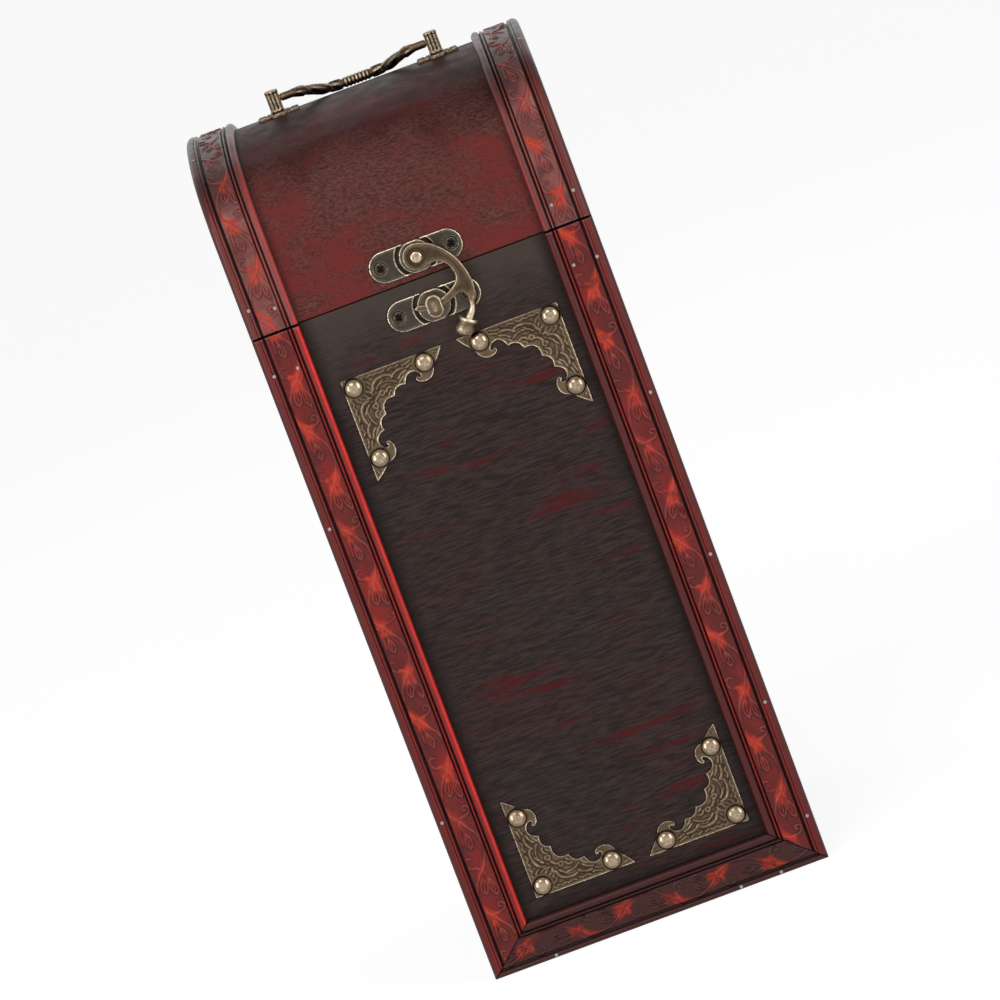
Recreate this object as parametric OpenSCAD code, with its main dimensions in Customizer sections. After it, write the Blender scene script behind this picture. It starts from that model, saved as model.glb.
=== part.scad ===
// Upright wooden wine box with an arched hinged lid, moulded trims and brass hardware.
// The origin is the centre of the base. The front faces -Y and +Z is up.

/* [Body] */
// Width of the box over the outer edges of its trims
box_w = 134; // [124:1:160]
// Depth from the face of the front panel to the face of the back panel
box_d = 128; // [118:1:150]
// Height of the body from its base to its rim
body_h = 260; // [240:1:320]
// Thickness of the boards of the body and of the lid's two ends
board_t = 8; // [6:0.5:10]
// Gap between the rim of the body and the closed lid
seam_gap = 0.4; // [0.3:0.1:1]

/* [Lid] */
// Height of the upright part of the lid, below its arch
lid_rise = 34.6; // [31:0.1:50]
// Radius of the arch's front and back shoulders, over the trims
shoulder_r = 30; // [24:1:34]
// Radius of the arch's crown, over the trims
crown_r = 140; // [110:1:180]
// Thickness of the bent sheet that closes the lid
sheet_t = 5; // [4.5:0.5:7]

/* [Trims] */
// How far the trims stand out from the panels
trim_t = 3; // [2.6:0.1:4]
// Width of the plain bead along the outer edge of a trim
outer_bead_w = 4.2; // [3:0.1:6]
// Width of the groove beside the outer bead
outer_groove_w = 0.9; // [0.5:0.1:1.5]
// Width of the flat band between the two grooves
band_w = 8.8; // [7:0.1:11]
// Width of the groove beside the inner bead
inner_groove_w = 1.8; // [1:0.1:2.5]
// Width of the bead along the inner edge of a trim
inner_bead_w = 3.3; // [2.5:0.1:4.5]
// Height of the bead along the foot of the bottom trim
foot_bead_w = 2.2; // [1.5:0.1:4.2]
// Depth of the grooves below the top of the beads
groove_sink = 1.3; // [0.6:0.1:1.6]
// Depth of the flat band below the top of the beads
band_sink = 0.6; // [0.2:0.1:1.2]

/* [Corner brackets] */
// Length of each leg of a corner bracket
bracket_leg = 39.6; // [36:0.2:42]
// Thickness of the stamped bracket sheet
bracket_t = 0.8; // [0.6:0.1:1.5]
// Gap between the inner edge of a side trim and the outer edge of a bracket
bracket_side_gap = 5.4; // [3:0.1:7]
// Gap between the bottom trim and the lower edge of the bottom brackets
bracket_foot_gap = 7; // [3:0.5:12]
// Drop from the body's rim to the upper edge of the top brackets
bracket_drop = 25.8; // [24.5:0.2:32]
// Sideways offset of the front hardware from the box's middle line
front_hardware_x = 1; // [-1:0.1:1.5]

/* [Studs and brads] */
// Diameter of a round-headed stud
stud_head_d = 7.6; // [6:0.1:8.2]
// Height of a stud's domed head
stud_head_h = 2.6; // [1.8:0.1:3.5]
// Diameter of a stud's shank
stud_shank_d = 1.6; // [1.2:0.1:2]
// Depth to which a stud's shank goes into the panel
stud_reach = 6; // [4:0.5:7]
// Diameter of a trim brad's head
brad_head_d = 1.3; // [1:0.1:1.8]
// Diameter of a trim brad's shank
brad_shank_d = 0.9; // [0.7:0.1:1]
// Length of a brad with its head
brad_len = 6.6; // [5:0.1:7]

/* [Latch] */
// Length of a latch plate
plate_len = 36.4; // [34:0.2:42]
// Height of a latch plate
plate_h = 12; // [11:0.2:14]
// Thickness of a latch plate
plate_t = 1; // [0.8:0.1:1.4]
// Diameter of the raised disc in the middle of a latch plate
disc_d = 11; // [9:0.2:13]
// Distance between the two screws of a latch plate
plate_screw_pitch = 27.8; // [26:0.2:31]
// Height of the hook's pivot above the seam
pivot_up = 8.4; // [8:0.1:12]
// Drop from the seam to the middle of the catch
catch_drop = 11; // [9.5:0.1:13]
// Thickness of the swing hook
hook_t = 1.8; // [1.4:0.1:2.4]
// Width of the hook's tine
tine_w = 2.4; // [2:0.1:3]
// Angle from straight down to the tip of the tine
tine_tip_angle = 22; // [18:1:28]
// Radius of the hook's round hub
hub_r = 5.1; // [4.6:0.1:6]
// Radius of the hook's finger knob
knob_r = 3.6; // [3:0.1:3.8]
// Diameter of the rivet that the hook swings on
rivet_d = 2.6; // [2.2:0.1:3]
// Width of the catch
catch_w = 6.3; // [5:0.1:8]
// Height of the catch
catch_h = 8.8; // [8:0.1:11]

/* [Handle] */
// Distance between the two handle posts
post_pitch = 64; // [60:1:80]
// Diameter of a handle post
post_d = 5.3; // [5:0.1:7]
// Height of a handle post above its foot
post_h = 8.5; // [8:0.1:12]
// Sideways offset of the handle from the box's middle line
handle_x = 2; // [-2:0.1:3]
// Length of a post's foot plate
foot_len = 16.2; // [14:0.2:20]
// Width of a post's foot plate
foot_w = 9; // [8:0.2:12]
// Width of the two ears at the ends of a post's foot plate
foot_ear_w = 5; // [4:0.2:7]
// Thickness of a post's foot plate
foot_t = 1.5; // [1.2:0.1:2]
// Height of the bail's pivot above the foot plate
bail_pivot_up = 4.7; // [4.6:0.1:5.5]
// Reach of the bail from its pivot to the middle of its grip
bail_reach = 19; // [17:0.5:24]
// Diameter of the bail's bar
bail_bar_d = 3; // [2.6:0.1:3.6]
// Diameter of the ribbed grip in the middle of the bail
grip_d = 4.2; // [3.8:0.1:5]
// Diameter of the bail's end pins
bail_pin_d = 2.2; // [1.8:0.1:2.4]

/* [Hinges] */
// Distance from the side of the box to the outer edge of a hinge
hinge_in = 22.5; // [15:0.5:28]
// Width of a hinge
hinge_w = 25; // [20:1:30]
// Height of a hinge leaf from the pin's centre to its edge
hinge_leaf_h = 13; // [11:0.5:18]
// Thickness of a hinge leaf
hinge_leaf_t = 1; // [0.8:0.1:1.3]
// Outer diameter of the hinge knuckles
knuckle_d = 3.4; // [3.2:0.1:4]
// Diameter of the hinge pin
hinge_pin_d = 1.7; // [1.4:0.1:1.9]

/* [Screws] */
// Diameter of a screw's countersunk head
screw_head_d = 4.2; // [3.6:0.1:4.6]
// Diameter of a screw's shank
screw_shank_d = 1.8; // [1.6:0.1:2]
// Length of a screw with its head
screw_len = 4.8; // [4:0.1:5.2]
// Diameter of the handle bolts
bolt_d = 3; // [2.5:0.1:3.2]
// Diameter of a handle bolt's head
bolt_head_d = 5.6; // [5:0.1:7]
// Height of a handle bolt's head
bolt_head_h = 2; // [1.6:0.1:3]

/* [Fits] */
// Radial clearance of a pin or rivet that turns in its hole
running_fit = 0.05; // [0.02:0.01:0.1]
// Radial clearance round a fixed screw, bolt, stud or rivet in its hole
hole_fit = 0.1; // [0.05:0.01:0.2]
// Space between metal faces that pass each other
pass_gap = 0.3; // [0.2:0.05:0.5]

/* [Hidden] */
$fn = 64;
eps = 0.01;

// Faces and planes of the box
half_w = box_w / 2;
front_y = -box_d / 2;
back_y = box_d / 2;
inner_half_w = half_w - board_t;
inner_half_d = box_d / 2 - board_t;
lid_z = body_h + seam_gap;
seam_z = body_h + seam_gap / 2;

// Three-centred arch of the lid, measured over the trims
arch_half = box_d / 2 + trim_t;
shoulder_y = arch_half - shoulder_r;
crown_drop = sqrt(pow(crown_r - shoulder_r, 2) - pow(shoulder_y, 2));
crown_z = lid_rise - crown_drop;
sheet_top_z = lid_z + crown_z + crown_r - trim_t;
sheet_under_z = sheet_top_z - sheet_t;

// Zones of a trim from its outer edge inwards
trim_w = outer_bead_w + outer_groove_w + band_w + inner_groove_w + inner_bead_w;
foot_trim_w = trim_w - outer_bead_w + foot_bead_w;
bracket_out = half_w - trim_w - bracket_side_gap;
bracket_low = foot_trim_w + bracket_foot_gap;
function zone_starts(bead_w) = [
    0, bead_w, bead_w + outer_groove_w, bead_w + outer_groove_w + band_w,
    bead_w + outer_groove_w + band_w + inner_groove_w
];
function zone_widths(bead_w) = [bead_w, outer_groove_w, band_w, inner_groove_w, inner_bead_w];
zone_sinks = [0, groove_sink, band_sink, groove_sink, 0];

// Brads: places chosen by eye, as distance in from a trim's outer edge and share of the body's size
rim_brads_in = [3.4, 12.6];
rim_brad_drop = 14.8;
side_brad_in = 2.3;
left_brads_up = [0.248, 0.709];
right_brads_up = [0.07, 0.25, 0.482, 0.733];
foot_brads_across = [-0.63, 0.48, 0.72];
foot_brad_up = 1.2;
lid_brads_in = [3.2, 12.6];
lid_brads_up = [11, 8.6];
lid_brad_crown_in = 2.2;
lid_brad_crown_turn = 14;
brad_head_h = 0.3;
brad_proud = 0.15;

// Latch: depths are counted outwards from the front panel's face
latch_x = front_hardware_x;
pivot_z = seam_z + pivot_up;
catch_z = seam_z - catch_drop;
disc_t = 0.8;
hook_back = plate_t + disc_t + pass_gap;
hook_front = hook_back + hook_t;
hook_mid = hook_back + hook_t / 2;
tine_r = pivot_z - catch_z;
catch_slot_h = tine_w + 4 * pass_gap;
catch_head_t = 1.6;
catch_stem_d = 3;
rivet_head_d = 4.5;
rivet_head_h = 0.9;
rivet_head_taper = 0.8;
rivet_bore_d = rivet_d + 2 * running_fit;
screw_head_h = plate_t;
recess_w = 0.5;
recess_len = 2.2;
recess_depth = 0.6;

// Outline of the hook, measured from its pivot, for a tine that curves at drawn_tine_r
drawn_tine_r = 19.4;
hook_size = tine_r / drawn_tine_r;
arm_out_r = 17.8;
arm_out_c = [-1.8, -12.6];
arm_in_r = 7.2;
arm_in_c = [3.9, -10.4];
arm_edge = [[0, -3.2], [2, 6], [20, 6], [20, -20], [12.4, -20], [10.6, -14], arm_in_c];
neck = [[12, -18.6], [15.8, -18.6], [14.6, -23.2], [12.6, -26.8], [9.8, -29.6], [7.6, -27.9], [10.6, -25.2]];
knob_c = [8.3, -30.9] * hook_size;
tine_from = -30;
tine_root_x = 13.5 * hook_size;
knob_forward = 0.8;
knob_depth = hook_mid + knob_forward;

// Handle: the bail rests on the back slope of the crown at this angle below level
foot_z = sheet_top_z;
post_z = foot_z + foot_t;
bail_z = post_z + bail_pivot_up;
crown_skin_r = crown_r - trim_t;
crown_skin_z = lid_z + crown_z;
rest_gap = 0.3;
pivot_to_crown = bail_z - crown_skin_z;
touch_r = crown_skin_r + grip_d / 2 + rest_gap;
bail_rest = 90 - acos((pow(pivot_to_crown, 2) + pow(bail_reach, 2) - pow(touch_r, 2))
    / (2 * pivot_to_crown * bail_reach));
post_inner = post_pitch / 2 - post_d / 2;
bail_pin_len = 3;
bend_out_r = 6;
bend_in_r = 8;
bend_angle = 60;
bail_straight = 3.8;
bend_start = post_inner - bail_straight;
arm_len = (bail_reach - (bend_out_r + bend_in_r) * (1 - cos(bend_angle))) / sin(bend_angle);
bend_run = (bend_out_r + bend_in_r) * sin(bend_angle) + arm_len * cos(bend_angle);
grip_half = bend_start - bend_run;
rib_count = 7;
bail_tuck = 0.3;
bail_collar_d = bail_bar_d + 0.9;
bail_swell = 0.6;
bolt_reach = 2.8;
flute_count = 10;
flute_r = 0.45;
flute_margin = 0.8;
bail_leaf_at = 0.28;
bolt_head_gap = 0.05;
bolt_slot_w = 0.8;
bolt_slot_depth = 0.8;

// Hinges: the pin lies just behind the back panel, level with the seam
hinge_stand_off = 0.15;
hinge_y = back_y + knuckle_d / 2 + hinge_stand_off;
hinge_x = half_w - hinge_in - hinge_w / 2;
knuckle_gap = 0.2;
knuckle_len = (hinge_w - 2 * knuckle_gap) / 3;
leaf_screw_in = 5;
leaf_screw_up = 8;
hinge_screw_head_d = 3.4;
hinge_slot_w = 0.5;
hinge_slot_depth = 0.4;

wood_dark = "#3a2c2b";
wood_red = "#6a2529";
trim_red = "#8a2522";
antique_brass = "#6f5f42";
bright_brass = "#c9ba8c";
pale_steel = "#b9b6ae";

// Turns what is drawn along +Z so that it points along +Y or -Y
module point_back() { rotate([-90, 0, 0]) children(); }
module point_front() { rotate([90, 0, 0]) children(); }

// Countersunk screw with its head's top at the origin and its shank along -Z
module screw(head_d, head_h, len) {
    translate([0, 0, -head_h]) cylinder(d1 = screw_shank_d, d2 = head_d, h = head_h);
    translate([0, 0, -len]) cylinder(d = screw_shank_d, h = len - head_h + eps);
}

// Hole for that screw, with its clearance all round
module screw_hole(head_d, head_h, len) {
    grow = 2 * hole_fit;
    translate([0, 0, -head_h]) cylinder(d1 = screw_shank_d + grow, d2 = head_d + grow, h = head_h + eps);
    translate([0, 0, -len - hole_fit]) cylinder(d = screw_shank_d + grow, h = len);
}

module at_plate_screws(z) {
    for (side = [-1, 1]) {
        translate([latch_x + side * plate_screw_pitch / 2, front_y - plate_t, z]) point_front() children();
    }
}

module at_hinge_screws(side, up) {
    for (end = [-1, 1]) {
        translate([side * hinge_x + end * (hinge_w / 2 - leaf_screw_in), back_y + hinge_leaf_t,
            seam_z + up * leaf_screw_up]) point_back() children();
    }
}

// Brad with its head's top at the origin, driven along -Z
module brad() {
    translate([0, 0, -brad_head_h]) cylinder(d = brad_head_d, h = brad_head_h);
    translate([0, 0, -brad_len]) cylinder(d = brad_shank_d, h = brad_len - brad_head_h + eps);
}

// Hole for that brad, with a sink that its head rests in
module brad_hole() {
    translate([0, 0, -brad_len - hole_fit]) cylinder(d = brad_shank_d + 2 * hole_fit, h = brad_len);
    translate([0, 0, -brad_head_h]) cylinder(d = brad_head_d + 2 * hole_fit, h = 2 * brad_head_h);
}

module at_front(x, z) { translate([x, front_y - trim_t - brad_proud, z]) point_front() children(); }

module at_body_brads() {
    for (side = [-1, 1]) {
        for (in = rim_brads_in) at_front(side * (half_w - in), body_h - rim_brad_drop) children();
        for (up = side < 0 ? left_brads_up : right_brads_up) {
            at_front(side * (half_w - side_brad_in), up * body_h) children();
        }
    }
    for (across = foot_brads_across) at_front(across * half_w, foot_brad_up) children();
}

module at_lid_brads() {
    for (side = [-1, 1]) {
        for (i = [0, 1]) at_front(side * (half_w - lid_brads_in[i]), lid_z + lid_brads_up[i]) children();
        for (turn = [-lid_brad_crown_turn, lid_brad_crown_turn]) {
            translate([side * (half_w - lid_brad_crown_in), 0, lid_z + crown_z]) rotate([turn, 0, 0])
                translate([0, 0, crown_r + brad_proud]) children();
        }
        translate([side * (half_w - lid_brads_in[0]), back_y + trim_t + brad_proud, lid_z + lid_brads_up[0]])
            point_back() children();
    }
}

// Carcass boards
module side_board(side) {
    x = side < 0 ? -half_w : inner_half_w;
    difference() {
        translate([x, front_y, 0]) cube([board_t, box_d, body_h]);
        at_body_brads() brad_hole();
    }
}

module front_panel() {
    color(wood_dark) difference() {
        translate([-inner_half_w, front_y, 0]) cube([2 * inner_half_w, board_t, body_h]);
        at_plate_screws(catch_z) screw_hole(screw_head_d, screw_head_h, screw_len);
        at_body_brads() brad_hole();
        at_studs() translate([0, 0, -stud_reach - bracket_t - hole_fit])
            cylinder(d = stud_shank_d + 2 * hole_fit, h = stud_reach + bracket_t);
    }
}

module back_panel() {
    color(wood_dark) difference() {
        translate([-inner_half_w, back_y - board_t, 0]) cube([2 * inner_half_w, board_t, body_h]);
        for (side = [-1, 1]) {
            at_hinge_screws(side, -1) screw_hole(hinge_screw_head_d, hinge_leaf_t, screw_len);
        }
    }
}

module left_side() { color(wood_dark) side_board(-1); }
module right_side() { color(wood_dark) side_board(1); }

module bottom_panel() {
    color(wood_dark) translate([-inner_half_w, -inner_half_d, 0])
        cube([2 * inner_half_w, 2 * inner_half_d, board_t]);
}

// Straight trim along +Z with its outer edge at x = 0 and its back on the panel
module trim_strip(bead_w, len) {
    starts = zone_starts(bead_w);
    widths = zone_widths(bead_w);
    ground = trim_t - groove_sink;
    translate([0, -ground, 0]) cube([trim_w - outer_bead_w + bead_w, ground, len]);
    for (i = [0, 2, 4]) {
        translate([starts[i], -(trim_t - zone_sinks[i]), 0]) cube([widths[i], trim_t - zone_sinks[i], len]);
    }
}

module front_trim_side(side) {
    color(trim_red) difference() {
        mirror([side > 0 ? 1 : 0, 0, 0]) difference() {
            translate([-half_w, front_y, 0]) trim_strip(outer_bead_w, body_h);
            translate([0, front_y + 1, 0]) point_front() linear_extrude(trim_t + 2)
                polygon([[-half_w, 0], [-half_w + trim_w, foot_trim_w], [0, foot_trim_w], [0, -1], [-half_w, -1]]);
        }
        at_body_brads() brad_hole();
    }
}

module front_trim_left() { front_trim_side(-1); }
module front_trim_right() { front_trim_side(1); }

module front_trim_bottom() {
    color(trim_red) difference() {
        intersection() {
            translate([half_w, front_y, 0]) rotate([0, -90, 0]) trim_strip(foot_bead_w, box_w);
            translate([0, front_y + 1, 0]) point_front() linear_extrude(trim_t + 2)
                polygon([
                    [-half_w, 0], [half_w, 0], [half_w - trim_w, foot_trim_w], [-half_w + trim_w, foot_trim_w]
                ]);
        }
        at_body_brads() brad_hole();
    }
}

module body_brads() { color(pale_steel) at_body_brads() brad(); }

// Corner bracket drawn with its corner at the origin and its legs along +X and +Y
module scallop(a, b, sag) {
    chord = norm(b - a);
    r = (chord * chord / 4 + sag * sag) / (2 * sag);
    mid = (a + b) / 2;
    out = [b[1] - a[1], a[0] - b[0]] / chord;
    translate(mid + out * (r - sag)) circle(r);
}

bracket_cusps = [[23.8, 7.2], [17.6, 10.6], [11.8, 16.9]];
stud_along = 31.7;
stud_in = 3.8;

module bracket_leg_shape() {
    polygon([
        [0, 0], [bracket_leg, 0], [bracket_leg - 5.4, 6.4], [bracket_leg - 8.4, 6.4],
        bracket_cusps[0], bracket_cusps[1], bracket_cusps[2], [0, bracket_cusps[2][1]]
    ]);
    translate([bracket_leg - 8.6, 7.6]) circle(2.6);
}

module bracket_shape() {
    difference() {
        union() {
            bracket_leg_shape();
            mirror([1, -1]) bracket_leg_shape();
        }
        for (flip = [0, 1]) {
            mirror([flip, -flip]) {
                scallop([bracket_leg - 10.6, 6.2], bracket_cusps[0], 1);
                scallop(bracket_cusps[0], bracket_cusps[1], 1.1);
                translate([bracket_leg - 13.2, 9.4]) circle(1.9);
            }
        }
        scallop(bracket_cusps[1], [bracket_cusps[1][1], bracket_cusps[1][0]], 1.3);
        for (p = [[stud_in, stud_in], [stud_along, stud_in], [stud_in, stud_along]]) {
            translate(p) circle(d = stud_shank_d + 2 * hole_fit);
        }
    }
}

module at_bracket(side, end) {
    z = end < 0 ? bracket_low : body_h - bracket_drop;
    translate([front_hardware_x + side * bracket_out, front_y, z]) point_front()
        mirror([side > 0 ? 1 : 0, 0, 0]) mirror([0, end > 0 ? 1 : 0, 0]) children();
}

module bracket(side, end) { color(antique_brass) at_bracket(side, end) linear_extrude(bracket_t) bracket_shape(); }
module bracket_top_left() { bracket(-1, 1); }
module bracket_top_right() { bracket(1, 1); }
module bracket_bottom_left() { bracket(-1, -1); }
module bracket_bottom_right() { bracket(1, -1); }

// Places on the face of each bracket where a stud's head sits
module at_studs() {
    for (side = [-1, 1], end = [-1, 1]) {
        at_bracket(side, end) for (p = [[stud_in, stud_in], [stud_along, stud_in], [stud_in, stud_along]]) {
            translate([p[0], p[1], bracket_t]) children();
        }
    }
}

// Domed stud standing on z = 0 with its shank along -Z
module stud() {
    dome_r = (pow(stud_head_d / 2, 2) + pow(stud_head_h, 2)) / (2 * stud_head_h);
    intersection() {
        translate([0, 0, stud_head_h - dome_r]) sphere(dome_r);
        cylinder(d = stud_head_d + 1, h = stud_head_h + 1);
    }
    translate([0, 0, -bracket_t - stud_reach]) cylinder(d = stud_shank_d, h = bracket_t + stud_reach + eps);
}

module bracket_studs() { color(bright_brass) at_studs() stud(); }

// Latch plate with round ends and a raised disc, drawn in the XY plane
module plate_blank() {
    reach = (plate_len - plate_h) / 2;
    linear_extrude(plate_t) {
        square([2 * reach, plate_h], center = true);
        for (side = [-1, 1]) translate([side * reach, 0]) circle(d = plate_h);
    }
    cylinder(d = disc_d, h = plate_t + disc_t);
}

module latch_plate(z, hole_d) {
    color(antique_brass) difference() {
        translate([latch_x, front_y, z]) point_front() difference() {
            plate_blank();
            translate([0, 0, -1]) cylinder(d = hole_d, h = plate_t + disc_t + 2);
        }
        at_plate_screws(z) screw_hole(screw_head_d, screw_head_h, screw_len);
    }
}

module latch_plate_upper() { latch_plate(pivot_z, rivet_d + 2 * hole_fit); }
module latch_plate_lower() { latch_plate(catch_z, catch_stem_d + 2 * hole_fit); }

// Phillips recess for a screw head
module cross_recess() {
    for (turn = [0, 90]) {
        rotate(turn) translate([-recess_len / 2, -recess_w / 2, -recess_depth]) cube([recess_len, recess_w, 1]);
    }
}

module plate_screws(z) {
    color(antique_brass) at_plate_screws(z) difference() {
        screw(screw_head_d, screw_head_h, screw_len);
        cross_recess();
    }
}

module latch_screws_upper() { plate_screws(pivot_z); }
module latch_screws_lower() { plate_screws(catch_z); }

// Catch: an upright eye on a riveted stem, with a slot for the hook's tine
module catch_outline() {
    straight = (catch_h - catch_w) / 2;
    square([catch_w, 2 * straight], center = true);
    for (side = [-1, 1]) translate([0, side * straight]) circle(d = catch_w);
}

module latch_catch() {
    base = plate_t + disc_t;
    depth = hook_front + pass_gap + catch_head_t;
    color(antique_brass) translate([latch_x, front_y, catch_z]) point_front() {
        translate([0, 0, hole_fit]) cylinder(d = catch_stem_d, h = base);
        difference() {
            translate([0, 0, base]) linear_extrude(depth - base) catch_outline();
            translate([-catch_w, -catch_slot_h / 2, hook_back - pass_gap / 2])
                cube([2 * catch_w, catch_slot_h, hook_t + pass_gap]);
        }
    }
}

// Swing hook, drawn flat with its pivot at the origin
module ring_part(r_in, r_out, from, to) {
    difference() {
        circle(r_out);
        circle(r_in);
        for (edge = [[from, -1], [to, 1]]) {
            rotate(edge[0]) translate([-2 * r_out, edge[1] > 0 ? 0 : -4 * r_out]) square([4 * r_out, 4 * r_out]);
        }
    }
}

module hook_shape() {
    circle(hub_r);
    scale(hook_size) {
        difference() {
            intersection() {
                translate(arm_out_c) circle(arm_out_r);
                polygon(arm_edge);
            }
            translate(arm_in_c) circle(arm_in_r);
        }
        polygon(neck);
    }
    intersection() {
        ring_part(tine_r - tine_w / 2, tine_r + tine_w / 2, -90 - tine_tip_angle, tine_from);
        polygon([[0, 0], [-3 * tine_r, -3 * tine_r], [tine_root_x, -3 * tine_r], [tine_root_x, 0]]);
    }
}

module swing_hook() {
    color(antique_brass) translate([latch_x, front_y, pivot_z]) point_front() {
        difference() {
            translate([0, 0, hook_back]) linear_extrude(hook_t) hook_shape();
            translate([0, 0, hook_back - 1]) cylinder(d = rivet_bore_d, h = hook_t + 2);
        }
        translate([knob_c[0], knob_c[1], knob_depth]) sphere(knob_r);
    }
}

module hook_rivet() {
    head_z = hook_front + pass_gap / 2;
    color(bright_brass) translate([latch_x, front_y, pivot_z]) point_front() {
        translate([0, 0, hole_fit]) cylinder(d = rivet_d, h = head_z);
        translate([0, 0, head_z]) cylinder(d1 = rivet_head_d, d2 = rivet_head_d - rivet_head_taper, h = rivet_head_h);
    }
}

// Region under the lid's arch in the YZ plane, set in from the outside of the trims
module arch_region(inset) {
    intersection() {
        union() {
            translate([-arch_half + inset, -1]) square([2 * (arch_half - inset), lid_rise + 1]);
            for (side = [-1, 1]) translate([side * shoulder_y, lid_rise]) circle(shoulder_r - inset);
            intersection() {
                translate([0, crown_z]) circle(crown_r - inset);
                polygon([[0, crown_z], 2 * [shoulder_y, crown_drop] + [0, crown_z],
                    2 * [-shoulder_y, crown_drop] + [0, crown_z]]);
            }
        }
        translate([-arch_half, -1]) square([2 * arch_half, 2 * arch_half]);
    }
}

// Slab of the arch from x = 0 to x = len, between two insets
module arch_slab(len, inset, inner = 0) {
    translate([0, 0, lid_z]) rotate([90, 0, 90]) linear_extrude(len) difference() {
        arch_region(inset);
        if (inner > inset) arch_region(inner);
        translate([-2 * arch_half, -4]) square([4 * arch_half, 4]);
    }
}

module lid_sheet() {
    color(wood_red) difference() {
        translate([-inner_half_w, 0, 0]) arch_slab(2 * inner_half_w, trim_t, trim_t + sheet_t);
        at_plate_screws(pivot_z) screw_hole(screw_head_d, screw_head_h, screw_len);
        for (side = [-1, 1]) {
            at_hinge_screws(side, 1) screw_hole(hinge_screw_head_d, hinge_leaf_t, screw_len);
            translate([handle_x + side * post_pitch / 2, 0, sheet_under_z - 1])
                cylinder(d = bolt_d + 2 * hole_fit, h = sheet_t + 2);
        }
        at_lid_brads() brad_hole();
    }
}

module lid_end(x) {
    color(wood_red) difference() {
        translate([x, 0, 0]) arch_slab(board_t, trim_t);
        at_lid_brads() brad_hole();
    }
}

module lid_left_end() { lid_end(-half_w); }
module lid_right_end() { lid_end(inner_half_w); }

module lid_trim(side) {
    starts = zone_starts(outer_bead_w);
    widths = zone_widths(outer_bead_w);
    color(trim_red) difference() {
        mirror([side > 0 ? 1 : 0, 0, 0]) {
            translate([-half_w, 0, 0]) arch_slab(trim_w, groove_sink, trim_t);
            for (i = [0, 2, 4]) {
                translate([-half_w + starts[i], 0, 0]) arch_slab(widths[i], zone_sinks[i], trim_t);
            }
        }
        at_lid_brads() brad_hole();
    }
}

module lid_trim_left() { lid_trim(-1); }
module lid_trim_right() { lid_trim(1); }

module lid_brads() { color(pale_steel) at_lid_brads() brad(); }

// Hinge leaf seen from the back: up = -1 for the body's leaf and 1 for the lid's
module hinge_leaf(side, up) {
    own = up < 0 ? [0, 2] : [1];
    other = up < 0 ? [1] : [0, 2];
    step = knuckle_len + knuckle_gap;
    x0 = side * hinge_x - hinge_w / 2;
    root = knuckle_d / 2 + pass_gap;
    color(antique_brass) difference() {
        union() {
            translate([x0, back_y, up < 0 ? seam_z - hinge_leaf_h : seam_z + root])
                cube([hinge_w, hinge_leaf_t, hinge_leaf_h - root]);
            for (i = own) {
                translate([x0 + i * step, back_y, up < 0 ? seam_z - root - eps : seam_z])
                    cube([knuckle_len, hinge_leaf_t, root + eps]);
                translate([x0 + i * step, hinge_y, seam_z]) rotate([0, 90, 0])
                    cylinder(d = knuckle_d, h = knuckle_len);
            }
        }
        translate([x0 - 1, hinge_y, seam_z]) rotate([0, 90, 0])
            cylinder(d = hinge_pin_d + 2 * running_fit, h = hinge_w + 2);
        at_hinge_screws(side, up) screw_hole(hinge_screw_head_d, hinge_leaf_t, screw_len);
    }
}

module hinge_pin(side) {
    color(antique_brass) translate([side * hinge_x - hinge_w / 2, hinge_y, seam_z]) rotate([0, 90, 0])
        cylinder(d = hinge_pin_d, h = hinge_w);
}

module hinge_left_body_leaf() { hinge_leaf(-1, -1); }
module hinge_right_body_leaf() { hinge_leaf(1, -1); }
module hinge_left_lid_leaf() { hinge_leaf(-1, 1); }
module hinge_right_lid_leaf() { hinge_leaf(1, 1); }
module hinge_left_pin() { hinge_pin(-1); }
module hinge_right_pin() { hinge_pin(1); }

module hinge_screws(up) {
    color(antique_brass) for (side = [-1, 1]) {
        at_hinge_screws(side, up) difference() {
            screw(hinge_screw_head_d, hinge_leaf_t, screw_len);
            translate([-hinge_screw_head_d, -hinge_slot_w / 2, -hinge_slot_depth])
                cube([2 * hinge_screw_head_d, hinge_slot_w, 2 * hinge_slot_depth]);
        }
    }
}

module hinge_screws_body() { hinge_screws(-1); }
module hinge_screws_lid() { hinge_screws(1); }

// Handle
module at_post(side) { translate([handle_x + side * post_pitch / 2, 0, 0]) children(); }

module handle_foot(side) {
    color(antique_brass) at_post(side) translate([0, 0, foot_z]) difference() {
        union() {
            cylinder(d = foot_w, h = foot_t);
            translate([-foot_len / 2, -foot_ear_w / 2, 0]) cube([foot_len, foot_ear_w, foot_t]);
        }
        translate([0, 0, -1]) cylinder(d = bolt_d + 2 * hole_fit, h = foot_t + 2);
    }
}

module handle_post(side) {
    color(antique_brass) at_post(side) translate([0, 0, post_z]) difference() {
        cylinder(d = post_d, h = post_h);
        for (i = [0 : flute_count - 1]) {
            rotate((i + 0.5) * 360 / flute_count) translate([post_d / 2 + flute_r / 2, 0, flute_margin])
                cylinder(r = flute_r, h = post_h - 2 * flute_margin, $fn = 24);
        }
        translate([0, 0, -1]) cylinder(d = bolt_d + 2 * hole_fit, h = 1 + bolt_reach + hole_fit);
        translate([-side * post_d, 0, bail_pivot_up]) rotate([0, side * 90, 0])
            cylinder(d = bail_pin_d + 2 * running_fit, h = post_d / 2 + bail_pin_len + hole_fit);
    }
}

module handle_foot_left() { handle_foot(-1); }
module handle_foot_right() { handle_foot(1); }
module handle_post_left() { handle_post(-1); }
module handle_post_right() { handle_post(1); }

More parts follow.
